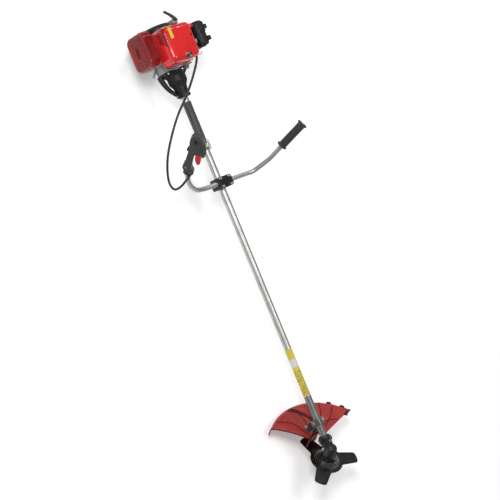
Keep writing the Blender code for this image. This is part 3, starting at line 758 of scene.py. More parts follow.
def handlebar():
    to_machine = MACHINE.inverted() @ GRIP
    inside = [to_machine @ Vector((BAR_IN_GRIP, 0, z)) for z in (-12, 78)]
    left = smooth_path(BAR_LEFT, 8)[1:] + [LEFT_GRIP_AT + LEFT_GRIP_ALONG * 118]
    right = smooth_path(BAR_RIGHT + [inside[0]], 8) + [inside[1]]
    add_piece("alloy_handlebar", pipe(right[::-1] + left, BAR_R, 32), MACHINE, ALLOY,
              instead_of=["handlebar"])
    where = MACHINE @ frame_of(LEFT_GRIP_AT, LEFT_GRIP_ALONG.orthogonal(), LEFT_GRIP_ALONG)
    profile = [(0, 123), (16, 123), (17, 122), (21, 120), (21, 116), (17, 113)]
    for i in range(14):
        top = 110 - i * 7
        profile += [(16.6, top), (16.6, top - 3.4), (15.5, top - 4.4), (15.5, top - 6)]
    profile += [(17, 10), (21, 8), (21, 3), (17, 0), (BAR_R + GAP, 0), (BAR_R + GAP, 119), (0, 119)]
    add_piece("ribbed_left_grip", lathe(eased(profile, 0.8), 56), where, RUBBER,
              instead_of=["left_grip"])
    cap = lathe(eased([(0, 124), (9, 124), (10, 123.2), (10, 122.6), (0, 122.6)], 0.4), 40)
    add_piece("grip_end_plug", cap, where, PALE_STICKER)


def handlebar_clamp():
    centre = MACHINE @ at(BAR_X, 0, 0)
    on_bar = at(0, 0, BAR_Z) @ ON_EDGE
    on_tube = frame_of((0, 0, 0), (0, 0, -1), (1, 0, 0))
    corners = [(x, y) for x in (-15, 15) for y in (-21, 21)]
    holes = [disc(3.4, -45, 60, 20) for _ in corners]
    drill = together(*[moved(hole, at(x, y, 0)) for hole, (x, y) in zip(holes, corners)])
    cap = plate(22, 34, 11, BAR_Z + GAP / 2, 43, 3.2, 6)
    ridge = block((-13.5, -30, 38), (13.5, 30, 46.5), 3.5)
    cap = carved(cap, ridge, operation="UNION")
    cap = carved(cap, bore(BAR_R + GAP, on_bar), drill.copy())
    add_piece("clamp_top_half", cap, centre, BLACK, instead_of=["clamp_cap"])
    base = plate(22, 34, 8, 0.2, BAR_Z - GAP / 2, 1.6, 5)
    base = carved(base, bore(BAR_R + GAP, on_bar), bore(ROUND_TUBE_R, on_tube), drill.copy())
    add_piece("clamp_middle_block", base, centre, BLACK, instead_of=["clamp_base"])
    lower = plate(22, 27, 8, -23, -GAP, 2.5, 5)
    lower = carved(lower, bore(ROUND_TUBE_R, on_tube), drill)
    add_piece("clamp_under_block", lower, centre, BLACK, instead_of=["clamp_lower"])
    heads = screw_heads([((x, y, 45), (0, 0, 1)) for x, y in corners], 4.6, 4.6, 2.4)
    shanks = [moved(disc(3.0, -21, 43.5, 20), at(x, y, 0)) for x, y in corners]
    add_piece("clamp_bolts", together(heads, *shanks), centre, STEEL,
              instead_of=[f"clamp_bolt_{i}" for i in range(1, 5)])


# ---- throttle handle -----------------------------------------------------------------------------
HANDLE_OUTLINE = [(-21, -4), (15, -4), (15, 10), (6, 20), (3, 28), (3, 56), (4, 78), (12, 87),
                  (27, 88), (29, 79), (38, 77), (44, 89), (42, 106), (35, 128), (23, 150), (7, 161),
                  (-10, 160), (-20, 150), (-23, 134), (-19, 114), (-20, 90), (-23, 62),
                  (-24, 38), (-29, 32), (-30, 20), (-26, 12), (-22, 10)]
TRIGGER_OUTLINE = [(8, 83), (18, 83), (20, 72), (27, 55), (24, 48), (17, 48), (13, 60), (8, 71)]
FINGER_OUTLINE = [(8, 83), (26, 83), (31, 66), (31, 48), (26, 40), (18, 43), (11, 56), (8, 66)]
LOCK_OUTLINE = [(-9, 113), (-16, 114), (-22, 109), (-28, 92), (-26, 86), (-19, 85), (-16, 96),
                (-10, 105)]
HANDLE_HALF = 15.0


def handle_shell(side, low, high):
    shell = slab(eased(HANDLE_OUTLINE, 7, True, 4), low, high)
    faces = (high, low) if side == "outer" else (low, high)
    for face, size, steps in zip(faces, (5.0, 0.6), (5, 2)):
        rim = [e for e in shell.edges if all(abs(v.co.z - face) < 0.001 for v in e.verts)]
        bmesh.ops.bevel(shell, geom=rim, offset=size, segments=steps, profile=0.5, affect="EDGES",
                        clamp_overlap=True)
    shell = moved(shell, ON_EDGE)
    socket = moved(disc(BAR_R + GAP, -20, 79, 40, 0.1), at(BAR_IN_GRIP, 0, 0))
    slots = [block((0.8, -5.5, 42), (29, 5.5, 88)), block((-40, -4.5, 82), (-6, 4.5, 118))]
    if side == "outer":
        slots.append(block((-7, -HANDLE_HALF - 2, 124), (7, -13.5, 146), 1.5))
    return carved(shell, socket, *slots)


def throttle_handle():
    for side, low, high in (("outer", 0.15, HANDLE_HALF), ("inner", -HANDLE_HALF, -0.15)):
        add_piece(f"handle_{side}_shell", handle_shell(side, low, high), GRIP, HANDLE_GREY,
                  instead_of=[f"throttle_body_{side}"])
    trigger = slab(eased(TRIGGER_OUTLINE, 3.5, True, 4), -4.9, 4.9, 1.8)
    finger = slab(eased(FINGER_OUTLINE, 3.5, True, 4), -11, 11, 3.0)
    add_piece("red_trigger", together(trigger, finger), FLAT, TRIGGER_RED, "trigger",
              ["throttle_trigger"])
    lock = slab(eased(LOCK_OUTLINE, 3, True, 4), -3.9, 3.9, 1.4)
    add_piece("thumb_lockout", lock, FLAT, BLACK, "lockout", ["lockout_lever"])
    face = -HANDLE_HALF - 0.6
    add_screws("handle_screws", [((-18, face, 22), (0, -1, 0))], GRIP, 2.4, 1.6, 1.2)
    collar = lathe(eased([(10.2, -9), (14.5, -9), (15.5, -6), (15.5, 3), (10.2, 3)], 1.2, True), 40, True)
    add_piece("bar_collar", moved(collar, at(BAR_IN_GRIP, 0, 0)), GRIP, BLACK)
    switch = block((-3.8, -18.8, 129.5), (3.8, -14.4, 140.5), 1.2)
    ridges = repeated(block((-3.6, -19.4, 131), (3.6, -18.4, 131.9), 0.3), 4, BLACK,
                      step=(0, 0, 2.6))
    add_piece("stop_slider", together(switch, ridges), GRIP, BLACK, "switch", ["stop_switch"])
    hood = pipe(smooth_path([(30, -13, 90), (40, -13, 93), (40, -13, 106), (34, -13, 126), (22, -12, 146),
                             (8, -12, 156)], 6), 3.8, 18)
    add_piece("handle_raised_edge", hood, GRIP, HANDLE_GREY)
    groove = pipe(smooth_path([(12, -14.9, 134), (20, -14.9, 120), (28, -14.9, 100), (30, -14.9, 88)], 6),
                  1.7, 12)
    add_piece("handle_face_groove", groove, GRIP, RUBBER)


# ---- engine --------------------------------------------------------------------------------------
def rounded_loop(width, height, corner, count=8):
    """A rounded rectangle about the origin, its corners drawn as arcs."""
    loop = []
    for x_sign, y_sign, start in ((1, 1, 0), (-1, 1, 0.25), (-1, -1, 0.5), (1, -1, 0.75)):
        centre = Vector((x_sign * (width / 2 - corner), y_sign * (height / 2 - corner)))
        for x, y in arc(corner, math.tau * start, math.tau * (start + 0.25), count):
            loop.append((centre.x + x, centre.y + y))
    return loop


def lofted(loops):
    """A closed skin through loops of equal count."""
    shape = bmesh.new()
    rings = [[shape.verts.new(point) for point in loop] for loop in loops]
    for ring, beside in zip(rings, rings[1:]):
        for k in range(len(ring)):
            j = (k + 1) % len(ring)
            shape.faces.new((ring[k], ring[j], beside[j], beside[k]))
    shape.faces.new(rings[0])
    shape.faces.new(rings[-1])
    bmesh.ops.recalc_face_normals(shape, faces=shape.faces)
    return shape


def guard():
    """The muffler guard: a box wrapped in ridges, which go on as rings over its face. As painted shade, the
    ridges are a darker red than the shroud and the box between them is near black.
    """
    low, high = Vector((-1664, -134, -42)), Vector((-1528, -88.5, 72))
    middle = (low + high) / 2
    wide, tall = high.x - low.x, high.z - low.z

    def loop_at(inset, y):
        corner = max(26 - inset * 0.7, 3.5)
        flat = rounded_loop(wide - 2 * inset, tall - 2 * inset, corner, 6)
        return [(middle.x + x, y, middle.z + z) for x, z in flat]

    body = lofted([loop_at(2.2, high.y), loop_at(2.2, -124), loop_at(4.5, -129), loop_at(9, -130.8)])
    ridges = [lofted([loop_at(3.2, y), loop_at(0, y - 0.9), loop_at(0, y - 2.6), loop_at(3.2, y - 3.5)])
              for y in (-88.5 - 5.4 * i for i in range(7))]
    for i in range(7):
        inset = 3.5 + i * 6.6
        front = -130 - min(i * 1.6, 4.0)
        ring = lofted([loop_at(inset - 0.6, -126), loop_at(inset, front), loop_at(inset + 2.4, front),
                       loop_at(inset + 3.4, -127.5)])
        if i < 6:
            ring = carved(ring, lofted([loop_at(inset + 3.4, -122), loop_at(inset + 3.4, -140)]))
        ridges.append(ring)
    hollow = [[(middle.x + x, y, middle.z + z) for x, z in rounded_loop(wide - 10, tall - 10, 20)]
              for y in (-86, -122)]
    body = carved(body, lofted(hollow))
    lobes = [pipe([(-1653, -128, z), (-1653, -123, z), (-1653, -92, z), (-1653, -90, z)],
                  [9, 13, 14.5, 14.5], 28) for z in (-20, 14, 46)]
    # painted shade: the box seen between the ridges is near black for the shade in the grooves
    add_piece("muffler_guard_box", body, MACHINE, PAINTED_SHADE_RED, instead_of=["muffler_guard"])
    add_piece("muffler_guard_ridges", together(*ridges, *lobes), MACHINE, GUARD_SHADE_RED)
    spots = [((x, -119, z), (0, -1, 0)) for x, z in ((-1552, 62), (-1552, -30), (-1640, -34))]
    add_screws("guard_screws", spots, MACHINE, 3.4, 2.6, 1.6)


def shroud_blank(grow):
    """The shroud's outer form, grown or shrunk: a low flank towards the guard and a taller top."""
    flank = block((-1648 - grow, -85 - grow, 40), (-1505 + grow, 30, 142 + grow), 24 + grow, 5)
    crown = block((-1646 - grow, -38 - grow, 40), (-1508 + grow, 50 + grow, 146 + grow), 22 + grow, 5)
    return carved(flank, crown, operation="UNION")


def slot_tool():
    """One cooling slot's cutter: a thin blade that crosses the flank's upper edge."""
    along = Vector((31, 27, 26)).normalized()
    outward = Vector((0, -0.69, 0.72))
    outward = (outward - along * outward.dot(along)).normalized()
    place = frame_of((0, 0, 0), along, outward)
    return moved(block((-24, -1.9, -13), (24, 1.9, 22), 1.6, 2), place)


def shroud():
    shell = carved(shroud_blank(0), shroud_blank(-3), block((-1680, -110, 10), (-1480, 80, 65)))
    slots = repeated(moved(slot_tool(), at(-1646, -78, 116)), 8, RED, step=(9.2, 0, 0))
    window = moved(disc(15, 30, 70, 32), INTAKE)
    port = block((-1594, -100, 50), (-1550, -70, 74))
    port_space = port.copy()
    top_hole = moved(disc(1, 0, 30, 24, 0.1), at(-1590, 33, 125) @ Matrix.Diagonal((7, 4, 1, 1)))
    shell = carved(shell, slots, window, port, top_hole)
    lip = lofted([[(x - 1576.5, y - 17.5, z) for x, y in rounded_loop(w, d, 24)]
                  for w, d, z in ((143, 135, 65.2), (146, 138, 66), (146, 138, 71), (143.5, 135.5, 72.5))])
    core = lofted([[(x - 1576.5, y - 17.5, z) for x, y in rounded_loop(138, 130, 22)]
                   for z in (60, 80)])
    lip = carved(lip, core)
    tabs = [block((-1632, 44, 128), (-1616, 60, 140), 4), block((-1540, 44, 84), (-1518, 58, 98), 4)]
    shell = carved(shell, *tabs, operation="UNION")
    add_piece("glossy_shroud", together(shell, lip), MACHINE, RED, instead_of=["engine_shroud"])
    liner = carved(shroud_blank(-3.8), shroud_blank(-5.4), block((-1680, -110, 10), (-1480, 80, 66)),
                   moved(disc(15, 30, 70, 32), INTAKE), port_space)
    add_piece("shroud_liner", liner, MACHINE, BLACK)
    rim = [(-1502, -78, 63), (-1497, -40, 58), (-1497, 20, 58), (-1503, 46, 64)]
    add_piece("shroud_heat_rim", pipe(smooth_path(rim, 6), 3.2, 16), MACHINE, CAST)
    flank = frame_of((-1616, -52.5, 142.0), (1, 0, 0), (0, -0.04, 1))
    sticker = plate(22, 7, 1.5, 0, 0.5)
    add_piece("yellow_shroud_sticker", moved(sticker, flank), MACHINE, YELLOW_PLAIN)
    bow = arc(22.4, math.radians(82), math.radians(28), 10)
    back = arc(21.8, math.radians(28), math.radians(82), 10)
    badge = moved(slab(bow + back, -3, 21, 0.1, 1), at(-1530, 0, 124) @ ON_EDGE)
    add_piece("black_shroud_sticker", badge, MACHINE, BLACK_STICKER)
    heads = [((-1506, -60, 90), (1, 0, 0)), ((-1506, 35, 90), (1, 0, 0))]
    add_screws("shroud_screws", heads, MACHINE, 3.6, 2.6, 1.7)


def crankcase_and_cylinder():
    """Cast ribs and screws on the crankcase's front, and thin fins on the cylinder."""
    profile = [(0, 122), (24, 122)]
    for i in range(9):
        top = 119 - i * 7
        profile += [(38, top), (38, top - 1.8), (27, top - 2.2), (27, top - 6.8)]
    profile += [(34, 52), (34, 44.4), (20, 44.4), (20, 106), (0, 106)]
    fins = lathe(profile, 48)
    ports = [moved(disc(PORT_R, 22, 46, 28), INTAKE),
             moved(disc(PORT_R, 22, 57, 28), EXHAUST)]
    barrel = carved(moved(fins, at(CYL_X, 0, 0)), *ports, operation="UNION")
    add_piece("finned_cylinder", barrel, MACHINE, CAST, instead_of=["cylinder"])
    rib = block((-1523, -46, -50), (-1519.5, -41, 34), 1)
    ribs = repeated(rib, 7, CAST, step=(0, 14.5, 0))
    add_piece("case_ribs", ribs, MACHINE, CAST)
    spots = [((-1521, y, z), (1, 0, 0)) for y in (-43, 43) for z in (-52, 38)]
    spots += [((x, -48.8, z), (0, -1, 0)) for x in (-1612, -1534) for z in (-46, 34)]
    add_screws("case_screws", spots, MACHINE, 3.8, 3.0, 1.8)
    foot = pipe(smooth_path([(-1530, -58, -12), (-1512, -68, -30), (-1505, -60, -52)], 5), 5.5, 16)
    add_piece("case_side_bracket", foot, MACHINE, CAST)


def clutch_bell():
    """The clutch housing: a ribbed black cone, its flange, and a leg that braces the tube."""
    where = along_shaft(-1391)
    outer = [(20, 0), (21, -12), (25, -44), (35.5, -64), (36, -88), (48, -99), (62, -100), (62, -106)]
    inner = [(33, -106), (33, -66), (9, -66), (9, -50.3), (ROUND_TUBE_R, -50.3), (ROUND_TUBE_R, 0)]
    cone = lathe(eased(outer, 3) + inner, 64, True)
    rib = slab([(19, -10), (23, -10), (28, -44), (38, -62), (39, -86), (51, -98), (34, -98), (34, -67),
                (24, -48)], -1.5, 1.5, 0.5, 1)
    rib = moved(rib, ON_EDGE)
    ribs = repeated(rib, 10, BLACK, turn=math.tau / 10)
    clamp = ears((-8, 18, -14), (8, 30, -2), 2)
    add_piece("ribbed_clutch_bell", together(cone, ribs, *clamp), where, BLACK,
              instead_of=["clutch_housing"])
    leg_line = smooth_path([(-1494, -57, -20), (-1468, -54, -18), (-1436, -43, -14), (-1404, -22, -6)], 5)
    last = len(leg_line) - 1
    leg = pipe(leg_line, [12 - 5 * k / last for k in range(last + 1)], 24)
    add_piece("bell_brace", leg, MACHINE, BLACK)
    places = [((x, y, -98.5), (0, 0, 1)) for x, y in arc(57, 0, math.tau * 5 / 6, 6)]
    places += [((0, 31 * side, -8), (0, side, 0)) for side in (1, -1)]
    add_screws("bell_screws", places, where, 3.8, 3.2, 1.9)


def air_filter():
    cover = block((-1640, 91.3, 40), (-1541, 126, 120), 12, 4)
    cover = carved(cover, block((-1636, 80, 44), (-1545, 122, 116), 9, 2))
    panel = block((-1630, 120, 50), (-1551, 128.5, 110), 3.5)
    rib = block((-1628, 127, 53), (-1624, 131, 107), 1.2)
    ribs = repeated(rib, 8, BLACK, step=(10.2, 0, 0))
    hump = block((-1632, 98, 116), (-1590, 122, 125), 4, 3)
    latch = [block((x, 118, 116), (x + 18, 132, 126), 2.5) for x in (-1618, -1572)]
    knob = block((-1586, 98, 116), (-1548, 118, 122), 3, 3)
    add_piece("air_filter_cover", together(cover, panel, ribs, hump, knob, *latch), MACHINE, BLACK,
              "air_cover", ["filter_cover"])
    base = block((-1638, 82.3, 42), (-1541, 91, 118), 4, 3)
    base = carved(base, moved(disc(9, 70, 100, 28), INTAKE))
    add_piece("air_filter_base", base, MACHINE, BLACK, instead_of=["filter_base"])
    fold = smooth_path([(-1538, 84, 60), (-1526, 92, 58), (-1522, 104, 62), (-1530, 112, 66)], 5)
    add_piece("choke_wire_bracket", pipe(fold, 1.6, 12), MACHINE, STEEL)


def starter():
    where = along_shaft(-1651)
    outside = [(70, 0), (70, -14), (60, -24), (14, -26), (14, -31), (0, -31)]
    inside = [(0, -28), (12, -28), (12, -23), (58, -21), (66, -13), (66, 0)]
    cup = lathe(eased(outside, 4) + inside, 64, True)
    vent = slab(eased([(24, -2.2), (52, -4), (52, 4), (24, 2.2)], 1.5, True), -32, -15)
    cup = carved(cup, repeated(vent, 12, BLACK, turn=math.tau / 12))
    add_piece("starter_cup", cup, where, BLACK, instead_of=["starter_housing"])
    guide = carved(block((-1672, 6, 60), (-1652, 28, 106), 3.5),
                   moved(disc(4, 72, 120, 24), ROPE))
    add_piece("rope_guide", guide, MACHINE, CAST)
    hook = smooth_path([(-1662, 17, 109), (-1664, 15, 113), (-1669, 9, 117), (-1684, -6, 120),
                        (-1704, -26, 116)], 6)
    radii = [5.4 + 2.2 * math.sin(math.pi * min(1, i / (len(hook) - 1) + 0.15)) for i in range(len(hook))]
    grip = pipe(hook, radii, 24)
    add_piece("curved_pull_handle", grip, MACHINE, HANDLE_GREY, "pull", ["starter_handle"])
    base = lathe(eased([(0, 117), (6, 117), (9, 110), (9, 106.3), (0, 106.3)], 1.6), 36)
    stem = disc(3, 80, 108, 20)
    add_piece("pull_handle_base", moved(together(base, stem), ROPE), MACHINE, PALE_STICKER,
              "pull")


def tank():
    body = block((-1650, -64, -146), (-1542, 70, -62), 18, 5)
    cap_at = frame_of((-1580, 60, -100), (0, 0, -1), (0, 1, 0.2))
    neck = moved(disc(13, -10, 30, 40), cap_at)
    body = carved(body, neck, operation="UNION")
    seam = lofted([[(x - 1596, y + 3, z) for x, y in rounded_loop(111, 137, 19)] for z in (-106.5, -103.5)])
    body = carved(body, seam, operation="UNION")
    body = carved(body, moved(disc(9, -30, 40, 32), cap_at), block((-1646, -60, -142), (-1546, 66, -66), 15))
    add_piece("milky_fuel_tank", body, MACHINE, TANK, instead_of=["fuel_tank"])
    profile = [(0, 36), (16, 36), (18, 34), (18, 17), (13.3, 17), (13.3, 30.3), (0, 30.3)]
    cap = lathe(eased(profile, 1.2), 48)
    knurl = repeated(block((17.2, -1.3, 18.5), (19.2, 1.3, 34), 0.6, 2), 20, BLACK, turn=math.tau / 20)
    bar = block((-13, -3, 34), (13, 3, 40), 1.8)
    add_piece("knurled_fuel_cap", together(cap, knurl, bar), MACHINE @ cap_at, BLACK, "cap",
              ["fuel_cap"])
    stand = block((-1655, -42, -160.8), (-1552, 72, -146.3), 4, 3)
    stand = carved(stand, block((-1632, -20, -170), (-1575, 50, -140), 2))
    add_piece("tank_foot", stand, MACHINE, BLACK, instead_of=["tank_stand"])


# ---- gear case and blade -------------------------------------------------------------------------
def gear_case():
    head = BLADE_DROP
    outside = [(0, head + 32), (16, head + 31), (21, head + 24), (24, head + 8), (26, head - 8), (26, 14)]
    inside = [(17, 14), (17, 22), (20, 24), (20, head + 24), (0, head + 26)]
    dome = lathe(eased(outside, 5) + inside, 64)
    to_shaft = GEAR.inverted() @ along_shaft(-4)
    neck = lathe(eased([(0, 62), (21, 62), (22, 40), (23.5, 6), (21, 0), (0, 0)], 2.5), 56)
    neck = moved(neck, to_shaft)
    neck = carved(neck, disc(20, 14, head + 24, 48, 0.1))
    case = carved(dome, neck, operation="UNION")
    case = carved(case, moved(disc(ROUND_TUBE_R, -6, TUBE_FRONT + 4.3, 48, 0.1), to_shaft),
                  moved(disc(12, 29, 64, 40, 0.1), to_shaft))
    both_ears = [moved(ear, to_shaft) for ear in ears((-9, 18, 8), (9, 29, 26), 3)]
    add_piece("cast_gear_case", together(case, *both_ears), GEAR, BLACK_PAINT,
              instead_of=["gear_case"])
    spots = [((0, 30 * side, 17), (0, side, 0)) for side in (1, -1)] + [((-23, 0, 24), (-1, 0, 0))]
    neck_screws = moved(screw_heads(spots, 4.4, 3.6, 2.2), to_shaft)
    rim = [((24.5 * math.cos(a), 24.5 * math.sin(a), 22), (math.cos(a), math.sin(a), 0))
           for a in (math.radians(d) for d in (-100, -50, 20, 75, 140))]
    add_piece("gear_case_bolts", together(neck_screws, screw_heads(rim, 4.2, 3.6, 2.0)), GEAR,
              STEEL)


def blade_set():
    collar = [(30, 20), (31, 14), (33.5, 13), (34, 10.5), (36, 10), (36.6, 8), (39, 7.4), (40, 5),
              (42, 4.4), (42, 1.3), (BLADE_BORE_R, 1.3), (BLADE_BORE_R, 13.7), (27, 13.7), (27, 20)]
    add_piece("stepped_collar", lathe(eased(collar, 0.7, True), 72, True), GEAR, DARK_STEEL, "cutter",
              ["upper_flange"])
    # painted highlight: bright steel bands on the collar's step edges stand for the highlights along them
    rings = [lathe([(r - 1.2, z), (r + 0.15, z), (r + 0.15, z + 1.6), (r - 1.2, z + 1.6)], 72, True)
             for r, z in ((31.2, 14.2), (36.2, 9.2), (42.0, 3.4), (48, 1.4))]
    add_piece("collar_edge_highlights", together(*rings), GEAR, STEEL, "cutter")
    washer = [(24, -1.3), (24, -4.4), (23, -5.2), (18, -7), (BLADE_BORE_R, -7), (BLADE_BORE_R, -1.3)]
    add_piece("dished_washer", lathe(eased(washer, 0.5, True), 56, True), GEAR, STEEL, "cutter",
              ["lower_flange"])
    arm_line = [(57, -30), (92, -27), (BLADE_R - 6, -24), (BLADE_R - 1, -12), (BLADE_R - 1, 12),
                (BLADE_R - 6, 24), (92, 27), (57, 30)]
    outline = []
    for turn in ARM_TURNS:
        for reach, across in arm_line:
            outline.append((reach * math.cos(turn) - across * math.sin(turn),
                            reach * math.sin(turn) + across * math.cos(turn)))
        outline += arc(65, turn + math.radians(42), turn + math.radians(78), 9)
    blade = slab(eased(outline, 5, True, 4), -BLADE_T / 2, BLADE_T / 2, 0.55, 2)
    blade = carved(blade, disc(BLADE_BORE_R, -5, 5, 32, 0.05))
    add_piece("three_tooth_blade", blade, GEAR, DARK_STEEL, "cutter", ["blade"])
    edges = []
    for turn in ARM_TURNS:
        for side in (-1, 1):
            ground = slab([(66, side * 27.4), (120, side * 23.2), (121, side * 20.4), (66, side * 24.6)],
                          -1.12, 1.12, 0.3, 1)
            edges.append(moved(ground, Matrix.Rotation(turn, 4, "Z")))
    add_piece("ground_edges", together(*edges), GEAR, DARK_STEEL, "cutter")


# ---- shield --------------------------------------------------------------------------------------
HUB_R = 84.0
HUB_START = math.radians(149)
HUB_END = math.radians(207)
SHIELD_WALL = 2.6
SHIELD_RIM = 20.0             # the height at which the rim's skirt ends
SHIELD_COLUMNS = 56


def shield_point(u, v, lift=0.0):
    """A point of the shield: u from its left end to its right end, v from the hub to the rim."""
    inner_turn = HUB_START + (HUB_END - HUB_START) * u
    outer_turn = SHIELD_START + (SHIELD_END - SHIELD_START) * u
    inner = Vector((math.cos(inner_turn), math.sin(inner_turn))) * HUB_R
    outer = Vector((math.cos(outer_turn), math.sin(outer_turn))) * SHIELD_R
    reach = min(v, 1.0)
    flat = inner.lerp(outer, reach)
    hollow_end = 12 * math.sin(math.pi * reach) * max(0.0, (u - 0.6) / 0.4) ** 2
    flat += Vector((0.25, 0.97)) * hollow_end
    top = SHIELD_TOP - 1.5 + 1.5 * math.sin(math.pi * reach)
    fall = max(0.0, (reach - 0.90) / 0.10)
    height = top - 9 * fall ** 2.2
    return Vector((flat.x, flat.y, height + lift))


def shield_skin():
    """The cover's upper skin and rim, and the same again a wall's thickness inside."""
    steps = [i / 26 for i in range(24)] + [0.90, 0.93, 0.955, 0.975, 0.99, 1.0]
    shape = bmesh.new()
    skins = []
    for wall in (0.0, SHIELD_WALL):
        grid = []
        for i in range(SHIELD_COLUMNS + 1):
            u = i / SHIELD_COLUMNS
            line = [shield_point(u, v, -wall) for v in steps]
            rim_top = line[-1]
            inward = Vector((-rim_top.x, -rim_top.y, 0)).normalized() * wall
            line[-1] = rim_top + inward
            for drop in (0.25, 0.5, 0.75, 1.0):
                height = rim_top.z + (SHIELD_RIM - rim_top.z) * drop
                line.append(Vector((rim_top.x, rim_top.y, height)) + inward)
            grid.append([shape.verts.new(point) for point in line])
        skins.append(grid)
    upper, lower = skins
    last = len(upper[0]) - 1
    for i in range(SHIELD_COLUMNS):
        for k in range(last):
            shape.faces.new((upper[i][k], upper[i][k + 1], upper[i + 1][k + 1], upper[i + 1][k]))
            shape.faces.new((lower[i][k], lower[i + 1][k], lower[i + 1][k + 1], lower[i][k + 1]))
        shape.faces.new((upper[i][0], upper[i + 1][0], lower[i + 1][0], lower[i][0]))
        shape.faces.new((upper[i][last], lower[i][last], lower[i + 1][last], upper[i + 1][last]))
    for k in range(last):
        shape.faces.new((upper[0][k], lower[0][k], lower[0][k + 1], upper[0][k + 1]))
        shape.faces.new((upper[-1][k], upper[-1][k + 1], lower[-1][k + 1], lower[-1][k]))
    bmesh.ops.recalc_face_normals(shape, faces=shape.faces)
    return shape


def shield():
    add_piece("curved_shield", shield_skin(), GEAR, SHIELD_RED, instead_of=["shield"])
    # painted shade: the step lines are raised lines drawn near black for the shade along the shield's steps
    lines = [((0.86, 0.05), (0.80, 0.5), (0.90, 0.95)), ((0.66, 0.1), (0.60, 0.5), (0.64, 0.96)),
             ((0.36, 0.12), (0.30, 0.5), (0.32, 0.96)), ((0.16, 0.2), (0.15, 0.55), (0.18, 0.96)),
             ((0.30, 0.16), (0.16, 0.40), (0.02, 0.52))]
    ribs = []
    for ends in lines:
        knots = [Vector((*end, 0)) for end in ends]
        line = [shield_point(p.x, p.y, 0.5) for p in smooth_path(knots, 14)]
        ribs.append(pipe(line, 1.5, 10))
    add_piece("shield_step_lines", together(*ribs), GEAR, SHIELD_EDGE_SHADE)
    # painted shade: the rim, front and corner beads are drawn near black for the shade along the shield's
    # edges
    edge = [shield_point(i / 60, 1.0) for i in range(61)]
    edge = [Vector((p.x, p.y, SHIELD_RIM + 3)) for p in edge]
    add_piece("shield_rim_bead", pipe(edge, 2.2, 12), GEAR, SHIELD_EDGE_SHADE)
    front = [shield_point(1.0, i / 30, -1.2) for i in range(31)]
    add_piece("shield_front_bead", pipe(front, 2.2, 16), GEAR, SHIELD_EDGE_SHADE)
    corner = [shield_point(0.0, 0.74 + 0.02 * i, 0.5) for i in range(14)]
    corner += [shield_point(0.01 * i, 1.0, -3) for i in range(1, 11)]
    add_piece("shield_end_bead", pipe(corner, 4.2, 16), GEAR, SHIELD_EDGE_SHADE)
    # painted shade: a near-black band across the shield stands for the shade in a recess
    band = []
    for i in range(25):
        v = 0.36 + 0.63 * i / 24
        middle = 0.44 + 0.25 * i / 24
        band.append([shield_point(middle + side, v, lift)
                     for side, lift in ((-0.035, 0.5), (0.035, 0.5), (0.035, -1.0), (-0.035, -1.0))])
    add_piece("shield_dark_band", lofted(band), GEAR, PAINTED_SHADE_RED)
    inner = [shield_point(i / 30, 0.0, -1.2) for i in range(31)]
    add_piece("shield_hub_bead", pipe(inner, 2.0, 12), GEAR, SHIELD_RED)
    # painted shade: the hub skirt under the shield is drawn near black for the shade there
    hub = [(92, 62), (92, 20), (90, 17), (86, 17), (86, 62)]
    wall = []
    for i in range(25):
        turn = math.radians(172 + 38 * i / 24)
        wall.append([(r * math.cos(turn), r * math.sin(turn), z) for r, z in hub])
    add_piece("shield_hub_skirt", lofted(wall), GEAR, PAINTED_SHADE_RED)
    # painted shade: the notches in the rim are drawn near black for the shade in them
    notches = [moved(block((-10, -9, -6), (4, 9, 7), 2),
                     Matrix.Rotation(math.radians(turn), 4, "Z") @ at(SHIELD_R, 0, 53))
               for turn in (126, 139)]
    add_piece("shield_notches", together(*notches), GEAR, SHIELD_EDGE_SHADE)


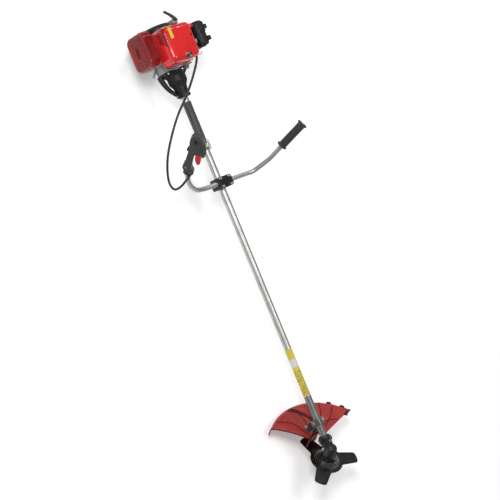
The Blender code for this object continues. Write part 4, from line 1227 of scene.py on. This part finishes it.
def shield_bracket():
    tube_at = GEAR.inverted() @ along_shaft(-74)
    ring = lathe(eased([(ROUND_TUBE_R, 0), (18.5, 0), (18.5, 26), (ROUND_TUBE_R, 26)], 1, True), 48, True)
    top_plate = slab(eased([(-134, -24), (-92, -24), (-92, 24), (-134, 24)], 5, True), SHIELD_TOP + 0.4,
                     SHIELD_TOP + 3.6, 0.8)
    saddle = carved(block((-126, -15, SHIELD_TOP + 2), (-97, 15, 100), 3),
                    moved(disc(ROUND_TUBE_R, -40, 90, 48, 0.1), tube_at))
    both_ears = [moved(ear, tube_at) for ear in ears((-6, 16, 3), (6, 31, 23), 2.5)]
    add_piece("steel_shield_bracket", together(moved(ring, tube_at), top_plate, saddle, *both_ears),
              GEAR, BRACKET_STEEL, instead_of=["shield_bracket"])
    corners = [((x, y, SHIELD_TOP + 5), (0, 0, 1)) for x in (-128, -98) for y in (-19, 19)]
    flat_bolts = screw_heads(corners, 4.6, 4.2, 2.2)
    through_ears = [((-8, y, 13), (-1, 0, 0)) for y in (24, -24)]
    ear_bolts = moved(screw_heads(through_ears, 4.2, 4), tube_at)
    add_piece("bracket_bolts", together(flat_bolts, ear_bolts), GEAR, STEEL)


# ---- stage ---------------------------------------------------------------------------------------
def stage():
    floor_mesh = bpy.data.meshes.new("floor")
    floor_shape = bmesh.new()
    bmesh.ops.create_grid(floor_shape, x_segments=1, y_segments=1, size=30)
    floor_shape.to_mesh(floor_mesh)
    floor_shape.free()
    paper = bpy.data.materials.new("pale_floor")
    paper.use_nodes = True
    shader = paper.node_tree.nodes["Principled BSDF"]
    shader.inputs["Base Color"].default_value = (0.90, 0.90, 0.90, 1)
    shader.inputs["Emission Color"].default_value = (1, 1, 1, 1)
    shader.inputs["Emission Strength"].default_value = 0.22
    shader.inputs["Roughness"].default_value = 0.9
    floor_mesh.materials.append(paper)
    floor = bpy.data.objects.new("floor", floor_mesh)
    floor.location.z = -0.0005
    bpy.context.scene.collection.objects.link(floor)
    world = bpy.data.worlds.new("studio")
    world.use_nodes = True
    world.node_tree.nodes["Background"].inputs["Color"].default_value = (1, 1, 1, 1)
    world.node_tree.nodes["Background"].inputs["Strength"].default_value = 0.38
    bpy.context.scene.world = world
    for name, place, size, power in (("key", (-1.4, -2.4, 4.0), 1.3, 120), ("top", (0.2, 0.5, 4.2), 1.6, 42),
                                     ("strip", (-2.6, 1.6, 2.6), 0.8, 22)):
        light = bpy.data.lights.new(name, "AREA")
        light.size = size
        light.energy = power
        ob = bpy.data.objects.new(name, light)
        ob.location = place
        ob.rotation_euler = Vector(place).to_track_quat("Z", "Y").to_euler()
        bpy.context.scene.collection.objects.link(ob)
    bpy.context.scene.view_settings.view_transform = "Standard"


for build in (shaft, darker_tube_end, hanger, tube_stickers, handlebar, handlebar_clamp, throttle_handle,
              guard, shroud, crankcase_and_cylinder, clutch_bell, air_filter, starter, tank, gear_case,
              blade_set, shield, shield_bracket, stage):
    build()
